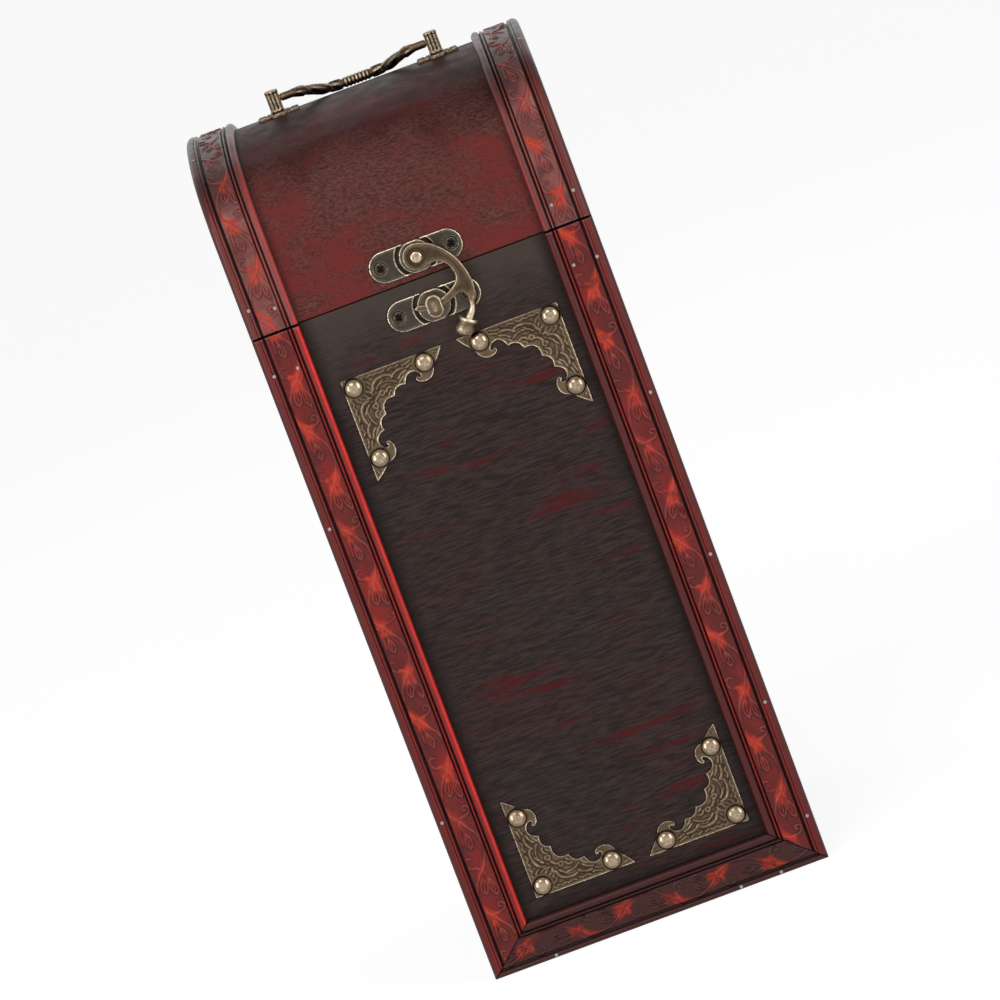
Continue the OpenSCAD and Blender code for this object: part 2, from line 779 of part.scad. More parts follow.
module handle_bolts() {
    head_top_z = sheet_under_z - bolt_head_gap;
    color(pale_steel) for (side = [-1, 1]) {
        at_post(side) {
            translate([0, 0, head_top_z - bolt_head_h]) difference() {
                cylinder(d = bolt_head_d, h = bolt_head_h);
                translate([-bolt_head_d, -bolt_slot_w / 2, -bolt_slot_depth])
                    cube([2 * bolt_head_d, bolt_slot_w, 2 * bolt_slot_depth]);
            }
            translate([0, 0, head_top_z - eps]) cylinder(d = bolt_d, h = post_z + bolt_reach - head_top_z + eps);
        }
    }
}

// Half of the bail, drawn with its reach along +Y and its end pin on the +X side
module bail_bend(r, from) {
    tuck = bail_tuck / r * 180 / PI;
    rotate(from + tuck) rotate_extrude(angle = bend_angle - 2 * tuck) translate([r, 0]) circle(d = bail_bar_d);
}

// Collar round the joint of two stretches of the bar, along +Z
module bail_collar() { cylinder(d = bail_collar_d, h = 4 * bail_tuck, center = true); }

// Arm along +Z with a leaf-like swelling towards each end
module bail_arm() {
    r = bail_bar_d / 2;
    swell = r + bail_swell;
    end = arm_len - bail_tuck;
    rotate_extrude() polygon([
        [0, bail_tuck], [r, bail_tuck], [swell, arm_len * bail_leaf_at], [r, arm_len / 2],
        [swell, arm_len * (1 - bail_leaf_at)], [r, end], [0, end]
    ]);
}

module bail_half() {
    bend_end = [bend_start - bend_out_r * sin(bend_angle), bend_out_r * (1 - cos(bend_angle)), 0];
    shoulder_x = post_inner - pass_gap;
    translate([shoulder_x - bail_tuck, 0, 0]) rotate([0, 90, 0])
        cylinder(d = bail_pin_d, h = bail_tuck + pass_gap + bail_pin_len);
    translate([bend_start + bail_tuck, 0, 0]) rotate([0, 90, 0])
        cylinder(d = bail_bar_d, h = shoulder_x - bend_start - bail_tuck);
    translate([bend_start, 0, 0]) rotate([0, 90, 0]) bail_collar();
    translate([bend_start, bend_out_r, 0]) bail_bend(bend_out_r, -90 - bend_angle);
    translate(bend_end) rotate([0, 0, 180 - bend_angle]) rotate([0, 90, 0]) {
        bail_collar();
        bail_arm();
        translate([0, 0, arm_len]) bail_collar();
    }
    translate([grip_half, bail_reach - bend_in_r, 0]) bail_bend(bend_in_r, 90 - bend_angle);
    translate([grip_half, bail_reach, 0]) rotate([0, 90, 0]) bail_collar();
}

module bail() {
    rib_pitch = 2 * (grip_half - 2 * bail_tuck) / rib_count;
    color(antique_brass) translate([handle_x, 0, bail_z]) rotate([-bail_rest, 0, 0]) {
        bail_half();
        mirror([1, 0, 0]) bail_half();
        translate([-grip_half + bail_tuck, bail_reach, 0]) rotate([0, 90, 0]) {
            cylinder(d = bail_bar_d, h = 2 * (grip_half - bail_tuck));
            for (i = [0 : rib_count - 1]) {
                translate([0, 0, bail_tuck + (i + 0.2) * rib_pitch]) cylinder(d = grip_d, h = 0.6 * rib_pitch);
            }
        }
    }
}

front_panel();
back_panel();
left_side();
right_side();
bottom_panel();
front_trim_left();
front_trim_right();
front_trim_bottom();
body_brads();
bracket_top_left();
bracket_top_right();
bracket_bottom_left();
bracket_bottom_right();
bracket_studs();
latch_plate_lower();
latch_catch();
latch_screws_lower();
hinge_left_body_leaf();
hinge_right_body_leaf();
hinge_left_pin();
hinge_right_pin();
hinge_screws_body();
lid_sheet();
lid_left_end();
lid_right_end();
lid_trim_left();
lid_trim_right();
lid_brads();
latch_plate_upper();
hook_rivet();
latch_screws_upper();
hinge_left_lid_leaf();
hinge_right_lid_leaf();
hinge_screws_lid();
handle_foot_left();
handle_foot_right();
handle_post_left();
handle_post_right();
handle_bolts();
swing_hook();
bail();
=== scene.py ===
from math import atan2, cos, hypot, pi, radians, sin, tau

import bpy
import numpy as np
from bpy.props import FloatProperty, FloatVectorProperty, PointerProperty
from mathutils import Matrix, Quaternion, Vector
from mathutils.geometry import delaunay_2d_cdt


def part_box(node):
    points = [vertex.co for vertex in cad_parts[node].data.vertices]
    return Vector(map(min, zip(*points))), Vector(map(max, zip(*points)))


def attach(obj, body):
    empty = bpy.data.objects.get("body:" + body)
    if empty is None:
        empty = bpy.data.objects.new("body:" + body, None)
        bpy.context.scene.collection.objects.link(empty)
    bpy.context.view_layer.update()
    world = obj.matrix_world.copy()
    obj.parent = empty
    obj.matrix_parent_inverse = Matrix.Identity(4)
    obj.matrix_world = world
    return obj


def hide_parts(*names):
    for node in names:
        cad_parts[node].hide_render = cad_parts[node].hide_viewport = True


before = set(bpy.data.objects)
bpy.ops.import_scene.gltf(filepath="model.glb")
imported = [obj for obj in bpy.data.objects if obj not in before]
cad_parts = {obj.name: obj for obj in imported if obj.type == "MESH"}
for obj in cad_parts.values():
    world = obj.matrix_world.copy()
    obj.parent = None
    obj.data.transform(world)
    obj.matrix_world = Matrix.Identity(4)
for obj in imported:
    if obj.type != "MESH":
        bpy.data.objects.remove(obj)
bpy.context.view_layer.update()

bl_info = {
    "name": "Wooden wine box",
    "version": (1, 0, 0),
    "blender": (4, 5, 0),
    "location": "View3D > Sidebar > Wine Box",
    "description": "Dresses an upright wooden wine box with its moulded trims, brass fittings and lacquer",
    "category": "Object",
}

# Every drawing below is in millimetres and the scene in metres
MM = 0.001


def node_box(node):
    """Lowest and highest corner of a frame node, in millimetres."""
    low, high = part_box(node)
    return np.array(low) / MM, np.array(high) / MM


# Faces of the box, read from the frame
FRONT = node_box("front_panel")[0][1]
HALF_W = -node_box("front_trim_left")[0][0]
BODY_TOP = node_box("front_trim_left")[1][2]
TRIM_T = FRONT - node_box("front_trim_left")[0][1]
TRIM_W = node_box("front_trim_left")[1][0] + HALF_W
FOOT_W = node_box("front_trim_bottom")[1][2]
SHEET_LOW, SHEET_HIGH = node_box("lid_sheet")
LID_LOW, LID_HIGH = node_box("lid_trim_left")
LID_Z = LID_LOW[2]

# Three-centred arch over the lid's trims
ARCH_HALF = LID_HIGH[1]
LID_RISE = 34.6
SHOULDER_R = 30.0
CROWN_R = 140.0
SHEET_T = 5.0
SHOULDER_Y = ARCH_HALF - SHOULDER_R
CROWN_DROP = ((CROWN_R - SHOULDER_R) ** 2 - SHOULDER_Y ** 2) ** 0.5
ARCH_JOIN = atan2(CROWN_DROP, -SHOULDER_Y)
SHOULDER_LEN = SHOULDER_R * (pi - ARCH_JOIN)
CROWN_LEN = CROWN_R * (2 * ARCH_JOIN - pi)
ARCH_LEN = 2 * (LID_RISE + SHOULDER_LEN) + CROWN_LEN

# Zones of a trim, from its outer edge to its inner one
OUTER_BEAD_W = 4.2
FOOT_BEAD_W = OUTER_BEAD_W - TRIM_W + FOOT_W
BAND_MIDDLE = 9.5
BAND_HALF = 4.4
BAND_TOP = 2.4
GROOVE_FLOOR = 1.72
END_ROUND = 0.8

# Latch and corner brackets
LATCH_X = 1.0
PIVOT_Z = 268.6
CATCH_Z = 249.2
HOOK_BACK = 2.1
HOOK_FRONT = 3.9
STUD_R = 3.8
STUD_PLACES = [(3.8, 3.8), (31.7, 3.8), (3.8, 31.7)]
BRACKET_T = 0.8

# Handle
HANDLE_X = 2.0
POST_PITCH = 64.0
POST_BASE_Z = node_box("handle_foot_left")[1][2]
BAIL_Z = POST_BASE_Z + 4.7
BAIL_REST = 15.289


# --- Lines and distances -------------------------------------------------------------

def smooth_line(points, steps=6):
    """Curve through the points, with this many steps between each pair."""
    p = np.array(points, float)
    if len(p) < 3:
        return np.linspace(p[0], p[-1], steps + 1)
    p = np.vstack([2 * p[0] - p[1], p, 2 * p[-1] - p[-2]])
    t = np.linspace(0, 1, steps, endpoint=False)[:, None]
    out = []
    for a, b, c, d in zip(p[:-3], p[1:-2], p[2:-1], p[3:]):
        out.append(0.5 * (2 * b + (c - a) * t + (2 * a - 5 * b + 4 * c - d) * t ** 2
                          + (3 * b - a - 3 * c + d) * t ** 3))
    return np.vstack([*out, p[-2:-1]])


def distance_to_line(points, line):
    """Shortest distance from each point to an open line."""
    a, b = line[:-1], line[1:]
    along = b - a
    out = np.full(len(points), 1e9)
    for start in range(0, len(points), 4000):
        p = points[start:start + 4000, None, :] - a[None]
        t = np.clip((p * along).sum(-1) / np.maximum((along ** 2).sum(-1), 1e-12), 0, 1)
        out[start:start + 4000] = np.sqrt(((p - t[..., None] * along) ** 2).sum(-1)).min(1)
    return out


def inside(points, outline):
    """Which points lie inside a closed outline."""
    a, b = outline, np.roll(outline, -1, 0)
    found = np.zeros(len(points), bool)
    for (ax, ay), (bx, by) in zip(a, b):
        if ay != by:
            crosses = (ay > points[:, 1]) != (by > points[:, 1])
            found ^= crosses & (points[:, 0] < (bx - ax) * (points[:, 1] - ay) / (by - ay) + ax)
    return found


def even_outline(outline, step):
    """The closed outline again, with a point at about every step."""
    out = []
    for a, b in zip(outline, np.roll(outline, -1, 0)):
        count = max(1, int(round(np.linalg.norm(b - a) / step)))
        out.append(a + (b - a) * np.linspace(0, 1, count, endpoint=False)[:, None])
    return np.vstack(out)


def arc(centre, radius, start, end, steps=12):
    """Points on an arc, with its angles in degrees."""
    a = np.radians(np.linspace(start, end, steps + 1))
    return [(centre[0] + radius * cos(t), centre[1] + radius * sin(t)) for t in a]


def ease(value, low, high):
    """Smooth step from 0 at low to 1 at high."""
    t = np.clip((value - low) / (high - low), 0, 1)
    return t * t * (3 - 2 * t)


# --- Meshes --------------------------------------------------------------------------

def solid_volume(points, faces):
    total = 0.0
    for group in faces:
        first = points[group[:, 0]]
        for i in range(1, group.shape[1] - 1):
            total += (first * np.cross(points[group[:, i]], points[group[:, i + 1]])).sum()
    return total


def make_piece(name, points, faces, layers=None, sharp=38.0):
    """Closed mesh object from points in millimetres, with one float layer for each mask."""
    points = np.asarray(points, float)
    faces = [np.asarray(group, int) for group in faces]
    if solid_volume(points - points.mean(0), faces) < 0:
        faces = [group[:, ::-1] for group in faces]
    mesh = bpy.data.meshes.new(name)
    mesh.vertices.add(len(points))
    mesh.vertices.foreach_set("co", (points * MM).astype(np.float32).ravel())
    mesh.loops.add(sum(group.size for group in faces))
    mesh.loops.foreach_set("vertex_index", np.concatenate([group.ravel() for group in faces]).astype(np.int32))
    mesh.polygons.add(sum(len(group) for group in faces))
    sizes = np.concatenate([np.full(len(group), group.shape[1]) for group in faces])
    mesh.polygons.foreach_set("loop_start", np.concatenate([[0], np.cumsum(sizes)[:-1]]).astype(np.int32))
    mesh.update(calc_edges=True)
    mesh.polygons.foreach_set("use_smooth", np.ones(len(sizes), bool))
    mesh.set_sharp_from_angle(angle=radians(sharp))
    for label, values in (layers or {}).items():
        mesh.attributes.new(label, "FLOAT", "POINT").data.foreach_set(
            "value", np.asarray(values, np.float32).ravel())
    piece = bpy.data.objects.new(name, mesh)
    bpy.context.scene.collection.objects.link(piece)
    return piece


def swept(rings):
    """Points and faces of rings joined one after another and capped at both ends."""
    rows, columns = rings.shape[:2]
    index = np.arange(rows * columns).reshape(rows, columns)
    turned = np.roll(index, -1, 1)
    sides = np.stack([index[:-1], turned[:-1], turned[1:], index[1:]], -1).reshape(-1, 4)
    return rings.reshape(-1, 3), [sides, index[0][::-1][None], index[-1][None]]


def lathed(profile, segments=48, flute=None):
    """Points and faces of a profile of (radius, height) turned round the Z axis."""
    profile = np.array(profile, float)
    turn = np.linspace(0, tau, segments, endpoint=False)
    radius = np.repeat(profile[:, :1], segments, 1)
    if flute is not None:
        radius = radius - flute(profile[:, 1:2], turn[None])
    height = np.repeat(profile[:, 1:2], segments, 1)
    return swept(np.stack([radius * np.cos(turn), radius * np.sin(turn), height], -1))


def stamped(outline, step, height, base=0.0):
    """Plate with a modelled face: height gives each point's height from its place and its distance to the edge."""
    edge = even_outline(np.array(outline, float), step)
    low, high = edge.min(0), edge.max(0)
    grid = np.stack(np.meshgrid(np.arange(low[0], high[0], step), np.arange(low[1], high[1], step)), -1)
    grid = grid.reshape(-1, 2)
    grid = grid[inside(grid, edge)]
    grid = grid[distance_to_line(grid, np.vstack([edge, edge[:1]])) > 0.55 * step]
    flat = np.vstack([edge, grid])
    rim = [(i, (i + 1) % len(edge)) for i in range(len(edge))]
    made, _, triangles, *_ = delaunay_2d_cdt([Vector(p) for p in flat], rim, [], 1, 1e-6)
    flat = np.array([tuple(p) for p in made])
    triangles = np.array([t for t in triangles if len(t) == 3])
    distance = distance_to_line(flat, np.vstack([edge, edge[:1]]))
    top, layers = height(flat, distance)
    count = len(flat)
    points = np.vstack([np.column_stack([flat, top]), np.column_stack([flat, np.full(count, base)])])
    sides = np.vstack([triangles[:, [0, 1]], triangles[:, [1, 2]], triangles[:, [2, 0]]])
    keys = {tuple(pair) for pair in sides}
    border = np.array([pair for pair in keys if (pair[1], pair[0]) not in keys])
    walls = np.column_stack([border[:, 1], border[:, 0], border[:, 0] + count, border[:, 1] + count])
    layers = {label: np.concatenate([values, np.zeros(count)]) for label, values in layers.items()}
    return points, [triangles, triangles[:, ::-1] + count, walls], layers


def on_front(points, x, z, out=0.0):
    """Turns a drawing in x, y and outward height into the box's frame, with its origin on the front."""
    p = np.asarray(points, float)
    return np.column_stack([x + p[:, 0], FRONT - out - p[:, 2], z + p[:, 1]])


def joined(parts):
    """One set of points, faces and layers from several."""
    points, faces, layers, start = [], [], {}, 0
    for part_points, part_faces, *rest in parts:
        points.append(part_points)
        faces += [group + start for group in part_faces]
        for label, values in (rest[0] if rest else {}).items():
            layers.setdefault(label, []).append((start, values))
        start += len(part_points)
    filled = {}
    for label, runs in layers.items():
        filled[label] = np.zeros(start)
        for first, values in runs:
            filled[label][first:first + len(values)] = values
    return np.vstack(points), faces, filled


def dress(piece, material, body, slot, *nodes):
    """Gives a piece its material, its body and the nodes that it stands for."""
    piece.data.materials.clear()
    piece.data.materials.append(material)
    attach(piece, body)
    if nodes:
        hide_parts(*nodes)
    return piece


def dress_node(node, material, bevel=0.0):
    """Gives a frame node its material, and a small round on its edges."""
    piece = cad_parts[node]
    piece.data.materials.clear()
    piece.data.materials.append(material)
    if bevel:
        rounded = piece.modifiers.new("Worn edges", "BEVEL")
        rounded.width = bevel * MM
        rounded.segments = 2
        rounded.limit_method = "ANGLE"
        rounded.angle_limit = radians(40)
        rounded.use_clamp_overlap = True
    return piece


# --- Shader nodes --------------------------------------------------------------------

def wire(tree, kind, inputs=None, **settings):
    """Adds a node with its settings, and sets or links its inputs."""
    made = tree.nodes.new(kind)
    for key, value in settings.items():
        setattr(made, key, value)
    for key, value in (inputs or {}).items():
        if isinstance(value, bpy.types.NodeSocket):
            tree.links.new(value, made.inputs[key])
        else:
            made.inputs[key].default_value = value
    return made


def maths(tree, operation, a, b=0.0, clamp=False):
    return wire(tree, "ShaderNodeMath", {0: a, 1: b}, operation=operation, use_clamp=clamp).outputs[0]


def spread(tree, value, low, high, out_low=0.0, out_high=1.0):
    """Maps low to high onto the new range, smoothly and within it."""
    return wire(tree, "ShaderNodeMapRange", {"Value": value, "From Min": low, "From Max": high,
                "To Min": out_low, "To Max": out_high}, interpolation_type="SMOOTHSTEP").outputs["Result"]


def mixed(tree, factor, a, b):
    """Colour that goes from a to b."""
    node = wire(tree, "ShaderNodeMix", data_type="RGBA")
    for socket, value in ((node.inputs[0], factor), (node.inputs[6], a), (node.inputs[7], b)):
        if isinstance(value, bpy.types.NodeSocket):
            tree.links.new(value, socket)
        else:
            socket.default_value = value
    return node.outputs[2]


def rgb(colour):
    """Linear colour with alpha, from sRGB values between 0 and 1."""
    return (*[c / 12.92 if c <= 0.04045 else ((c + 0.055) / 1.055) ** 2.4 for c in tuple(colour)[:3]], 1.0)


def place(tree):
    """Place on the object at rest, in metres."""
    return tree.nodes.new("ShaderNodeTexCoord").outputs["Object"]


def stretched_noise(tree, vector, stretch, detail=3.0, roughness=0.5, distortion=0.0):
    scaled = wire(tree, "ShaderNodeVectorMath", {0: vector, 1: stretch}, operation="MULTIPLY").outputs[0]
    return wire(tree, "ShaderNodeTexNoise", {"Vector": scaled, "Scale": 1.0, "Detail": detail,
                "Roughness": roughness, "Distortion": distortion}).outputs["Fac"]


def new_group(name, inputs, outputs):
    group = bpy.data.node_groups.new(name, "ShaderNodeTree")
    for label, kind, default in inputs:
        group.interface.new_socket(label, in_out="INPUT", socket_type=kind).default_value = default
    for label, kind in outputs:
        group.interface.new_socket(label, in_out="OUTPUT", socket_type=kind)
    return group, group.nodes.new("NodeGroupInput").outputs, group.nodes.new("NodeGroupOutput")


def grain_group():
    """Fibres, pores and chatter of a stained board; Stretch is how fast they change along each axis."""
    group, given, out = new_group("Board grain", [
        ("Stretch", "NodeSocketVector", (40, 1500, 1500)), ("Waviness", "NodeSocketFloat", 0.0012),
    ], [("Fibres", "NodeSocketFloat"), ("Pores", "NodeSocketFloat"), ("Height", "NodeSocketFloat")])
    spot = place(group)
    sway = wire(group, "ShaderNodeTexNoise", {"Vector": spot, "Scale": 38.0, "Detail": 2.0}).outputs["Color"]
    sway = wire(group, "ShaderNodeVectorMath", {0: sway, 1: (0.5, 0.5, 0.5)}, operation="SUBTRACT").outputs[0]
    shift = wire(group, "ShaderNodeVectorMath", {0: sway, "Scale": given["Waviness"]}, operation="SCALE").outputs[0]
    spot = wire(group, "ShaderNodeVectorMath", {0: spot, 1: shift}, operation="ADD").outputs[0]
    fibres = stretched_noise(group, spot, given["Stretch"], 3.0, 0.6)
    fine = wire(group, "ShaderNodeVectorMath", {0: given["Stretch"], 1: (3.4, 1.7, 1.7)}, operation="MULTIPLY").outputs[0]
    dashes = stretched_noise(group, spot, fine, 1.0, 0.4)
    pores = spread(group, dashes, 0.60, 0.72)
    height = maths(group, "SUBTRACT", fibres, maths(group, "MULTIPLY", pores, 0.8))
    group.links.new(fibres, out.inputs["Fibres"])
    group.links.new(pores, out.inputs["Pores"])
    group.links.new(height, out.inputs["Height"])
    return group


def stain_group():
    """Clouds of stain that cover a share of the surface."""
    group, given, out = new_group("Stain clouds", [
        ("Stretch", "NodeSocketVector", (30, 30, 30)), ("Cover", "NodeSocketFloat", 0.5),
        ("Softness", "NodeSocketFloat", 0.12),
    ], [("Mask", "NodeSocketFloat")])
    cloud = stretched_noise(group, place(group), given["Stretch"], 4.0, 0.62, 0.4)
    middle = maths(group, "SUBTRACT", 0.72, maths(group, "MULTIPLY", given["Cover"], 0.44))
    low = maths(group, "SUBTRACT", middle, given["Softness"])
    high = maths(group, "ADD", middle, given["Softness"])
    group.links.new(spread(group, cloud, low, high), out.inputs["Mask"])
    return group


def wear_and_highlight_group():
    """Rubbed places and painted highlights: the mask of an edge or crest, broken up by handling."""
    group, given, out = new_group("Rubbed wear", [
        ("Place", "NodeSocketFloat", 0.0), ("Amount", "NodeSocketFloat", 1.0), ("Break up", "NodeSocketFloat", 900.0),
    ], [("Mask", "NodeSocketFloat")])
    chips = wire(group, "ShaderNodeTexNoise", {"Vector": place(group), "Scale": given["Break up"],
                 "Detail": 3.0, "Roughness": 0.6}).outputs["Fac"]
    share = maths(group, "ADD", maths(group, "MULTIPLY", chips, 1.5), -0.1)
    rubbed = maths(group, "MULTIPLY", maths(group, "MULTIPLY", given["Place"], given["Amount"]), share)
    group.links.new(spread(group, rubbed, 0.12, 0.75), out.inputs["Mask"])
    return group


def specks_group():
    """Dust, pits and fine unevenness in a coat of lacquer or plate."""
    group, given, out = new_group("Specks and pits", [("Scale", "NodeSocketFloat", 1400.0)],
                                  [("Specks", "NodeSocketFloat"), ("Height", "NodeSocketFloat")])
    fine = wire(group, "ShaderNodeTexNoise", {"Vector": place(group), "Scale": given["Scale"],
                "Detail": 3.0, "Roughness": 0.65}).outputs["Fac"]
    broad = wire(group, "ShaderNodeTexNoise", {"Vector": place(group),
                 "Scale": maths(group, "MULTIPLY", given["Scale"], 0.12), "Detail": 2.0}).outputs["Fac"]
    group.links.new(spread(group, fine, 0.56, 0.72), out.inputs["Specks"])
    group.links.new(maths(group, "ADD", maths(group, "MULTIPLY", fine, 0.5), broad), out.inputs["Height"])
    return group


GROUPS = {}


def grouped(tree, name, **inputs):
    """One of the shared effects, with its own values."""
    node = wire(tree, "ShaderNodeGroup", node_tree=GROUPS[name])
    for label, value in inputs.items():
        socket = node.inputs[label.replace("_", " ")]
        if isinstance(value, bpy.types.NodeSocket):
            tree.links.new(value, socket)
        else:
            socket.default_value = value
    return node.outputs


def new_material(name):
    material = bpy.data.materials.get(name)
    if material is None:
        material = bpy.data.materials.new(name)
    material.use_nodes = True
    tree = material.node_tree
    return material, tree, tree.nodes["Principled BSDF"]


def bumped(tree, shader, height, strength, depth):
    bump = wire(tree, "ShaderNodeBump", {"Height": height, "Strength": strength, "Distance": depth * MM})
    tree.links.new(bump.outputs["Normal"], shader.inputs["Normal"])


def layer(tree, name):
    """A mask kept in the mesh."""
    return wire(tree, "ShaderNodeAttribute", attribute_name=name).outputs["Fac"]


# Colour of the painted shade along the trims
TRIM_CORNER_SHADE = (0.09, 0.065, 0.065)
GRAIN_ALONG = {"x": (1, 0, 0), "y": (0, 1, 0)}


def stained_wood(name, colours, along="x", sheen=0.42, streaks=0.4, mottled=0.3, clouds=(), gloss=0.1):
    """Open-grained board under a thin satin stain: its ground, its darker fibres and its warmer streaks."""
    ground, fibre, streak = (rgb(c) for c in colours)
    material, tree, shader = new_material(name)
    axis = np.array(GRAIN_ALONG[along])
    grain = grouped(tree, "grain", Stretch=tuple(1600 - (1540 - 640 * mottled) * axis), Waviness=0.0022)
    wisps = grouped(tree, "stain", Stretch=tuple(230 - 90 * mottled - (214 - 120 * mottled) * axis),
                    Cover=streaks, Softness=0.055)["Mask"]
    cloudy = grouped(tree, "stain", Stretch=tuple(44 - (24 - 12 * mottled) * axis), Cover=0.5, Softness=0.16)["Mask"]
    orange_peel = grouped(tree, "specks", Scale=1100.0)
    colour = mixed(tree, spread(tree, grain["Fibres"], 0.34, 0.66), fibre, ground)
    blotch = maths(tree, "ADD", maths(tree, "MULTIPLY", cloudy, mottled), maths(tree, "MULTIPLY", wisps, 1.0 - 0.5 * mottled))
    blotch = maths(tree, "MULTIPLY", blotch, spread(tree, grain["Fibres"], 0.25, 0.55, 0.5, 1.0))
    colour = mixed(tree, maths(tree, "MULTIPLY", blotch, spread(tree, cloudy, 0.0, 1.0, 0.15, 1.0)), colour, streak)
    colour = mixed(tree, maths(tree, "MULTIPLY", grain["Pores"], 0.35), colour, rgb((0.07, 0.05, 0.05)))
    colour = mixed(tree, maths(tree, "MULTIPLY", orange_peel["Specks"], 0.15 + 0.5 * mottled), colour, fibre)
    # Each cloud lays a colour over its mask: painted shade along the trims and over the lid's crown, and a greyer stain
    # towards the body's top
    for cloud in clouds:
        colour = mixed(tree, *cloud(tree, colour))
    tree.links.new(colour, shader.inputs["Base Color"])
    shader.inputs["Specular IOR Level"].default_value = gloss
    tree.links.new(spread(tree, orange_peel["Height"], 0.4, 1.1, sheen - 0.06, sheen + 0.12), shader.inputs["Roughness"])
    relief = maths(tree, "ADD", maths(tree, "MULTIPLY", grain["Height"], 0.5),
                   maths(tree, "MULTIPLY", orange_peel["Height"], 0.3 + mottled))
    bumped(tree, shader, relief, 0.7, 0.14)
    return material


def painted_shade_along_trims(tree, colour):
    """Painted shade on the front, in the corner along the trims."""
    spot = wire(tree, "ShaderNodeSeparateXYZ", {0: place(tree)}).outputs
    sway = wire(tree, "ShaderNodeTexNoise", {"Vector": place(tree), "Scale": 70.0, "Detail": 3.0}).outputs["Fac"]
    from_side = maths(tree, "SUBTRACT", (HALF_W - TRIM_W) * MM, maths(tree, "ABSOLUTE", spot["X"]))
    from_foot = maths(tree, "SUBTRACT", spot["Z"], FOOT_W * MM)
    away = maths(tree, "ADD", maths(tree, "MINIMUM", from_side, from_foot), maths(tree, "MULTIPLY", sway, -0.005))
    on_front_side = spread(tree, spot["Y"], (FRONT + 2) * MM, (FRONT + 4) * MM, 1.0, 0.0)
    mask = maths(tree, "MULTIPLY", spread(tree, away, -0.0025, 0.004, 0.6, 0.0), spread(tree, from_side, -0.002, -0.001))
    return maths(tree, "MULTIPLY", mask, on_front_side), colour, rgb(TRIM_CORNER_SHADE)


def under_seam(tree, colour):
    """Stain greyer towards the top of the body's boards, below the lid and round the latch."""
    spot = wire(tree, "ShaderNodeSeparateXYZ", {0: place(tree)}).outputs
    sway = wire(tree, "ShaderNodeTexNoise", {"Vector": place(tree), "Scale": 42.0, "Detail": 5.0}).outputs["Fac"]
    level = maths(tree, "ADD", spot["Z"], maths(tree, "MULTIPLY", sway, 0.05))
    return spread(tree, level, (BODY_TOP - 14) * MM, (BODY_TOP + 26) * MM, 0.0, 0.75), colour, rgb((0.27, 0.23, 0.21))


def crown_painted_shade(tree, colour, most=0.82):
    """Painted shade over the lid's crown, and in clouds below it."""
    spot = wire(tree, "ShaderNodeSeparateXYZ", {0: place(tree)}).outputs
    sway = wire(tree, "ShaderNodeTexNoise", {"Vector": place(tree), "Scale": 26.0, "Detail": 4.0}).outputs["Fac"]
    level = maths(tree, "ADD", spot["Z"], maths(tree, "MULTIPLY", sway, 0.06))
    return spread(tree, level, (LID_Z + 72) * MM, (LID_Z + 100) * MM, 0.0, most), colour, rgb((0.08, 0.05, 0.05))


def lacquered_trim(name, colours, paint_share, gloss=0.12, crown=0.0):
    """Lacquered moulding: reddish band, dark grooves laid as painted shade, beads lightened as rubbed lacquer and
    painted highlight, and a vine with paint at its knots.
    """
    band, groove, bead, vine, paint = (rgb(c) for c in colours)
    material, tree, shader = new_material(name)
    cloudy = grouped(tree, "stain", Stretch=(75, 75, 42), Cover=0.58, Softness=0.18)["Mask"]
    streaky = grouped(tree, "stain", Stretch=(420, 420, 60), Cover=0.5, Softness=0.25)["Mask"]
    specks = grouped(tree, "specks", Scale=1500.0)
    patchy = grouped(tree, "stain", Stretch=(240, 240, 200), Cover=0.62, Softness=0.16)["Mask"]
    shade = maths(tree, "MAXIMUM", maths(tree, "MULTIPLY", cloudy, 0.72), layer(tree, "shade"))
    colour = mixed(tree, shade, band, groove)
    # Crests take the bead red: rubbed lacquer and a painted highlight
    crest = maths(tree, "MULTIPLY", layer(tree, "crest"), spread(tree, streaky, 0.0, 1.0, 0.55, 1.0))
    colour = mixed(tree, crest, colour, bead)
    # Painted shade in the troughs beside the raised vine lines
    colour = mixed(tree, maths(tree, "MULTIPLY", layer(tree, "trough"), 0.6), colour, rgb((0.16, 0.08, 0.08)))
    strength = grouped(tree, "stain", Stretch=(9, 9, 22), Cover=0.6, Softness=0.1)["Mask"]
    daub = maths(tree, "MULTIPLY", layer(tree, "paint"), spread(tree, patchy, 0.0, 1.0, 0.2, 1.0))
    daub = maths(tree, "MULTIPLY", daub, spread(tree, strength, 0.0, 1.0, 0.25, 1.0))
    colour = mixed(tree, maths(tree, "MULTIPLY", daub, paint_share), colour, paint)
    # Painted shade over the crown of the lid's trims
    if crown:
        colour = mixed(tree, *crown_painted_shade(tree, colour, crown))
    line = maths(tree, "MULTIPLY", layer(tree, "line"), spread(tree, patchy, 0.0, 1.0, 0.15, 0.6))
    colour = mixed(tree, line, colour, vine)
    # Painted shade in the grooves, on the outer wall and at the seam ends, and dark joints at the mitres
    colour = mixed(tree, layer(tree, "dip"), colour, rgb((0.10, 0.065, 0.06)))
    rubbed = grouped(tree, "wear", Place=layer(tree, "edge"), Amount=1.0, Break_up=700.0)["Mask"]
    colour = mixed(tree, maths(tree, "MULTIPLY", rubbed, 0.55), colour, rgb((0.62, 0.46, 0.42)))
    colour = mixed(tree, maths(tree, "MULTIPLY", specks["Specks"], 0.22), colour, rgb((0.16, 0.08, 0.08)))
    tree.links.new(colour, shader.inputs["Base Color"])
    tree.links.new(spread(tree, specks["Height"], 0.4, 1.1, 0.30, 0.46), shader.inputs["Roughness"])
    shader.inputs["Coat Weight"].default_value = gloss
    shader.inputs["Coat Roughness"].default_value = 0.16
    shader.inputs["Specular IOR Level"].default_value = 0.1 + 0.2 * gloss
    bumped(tree, shader, specks["Height"], 0.35, 0.12)
    return material


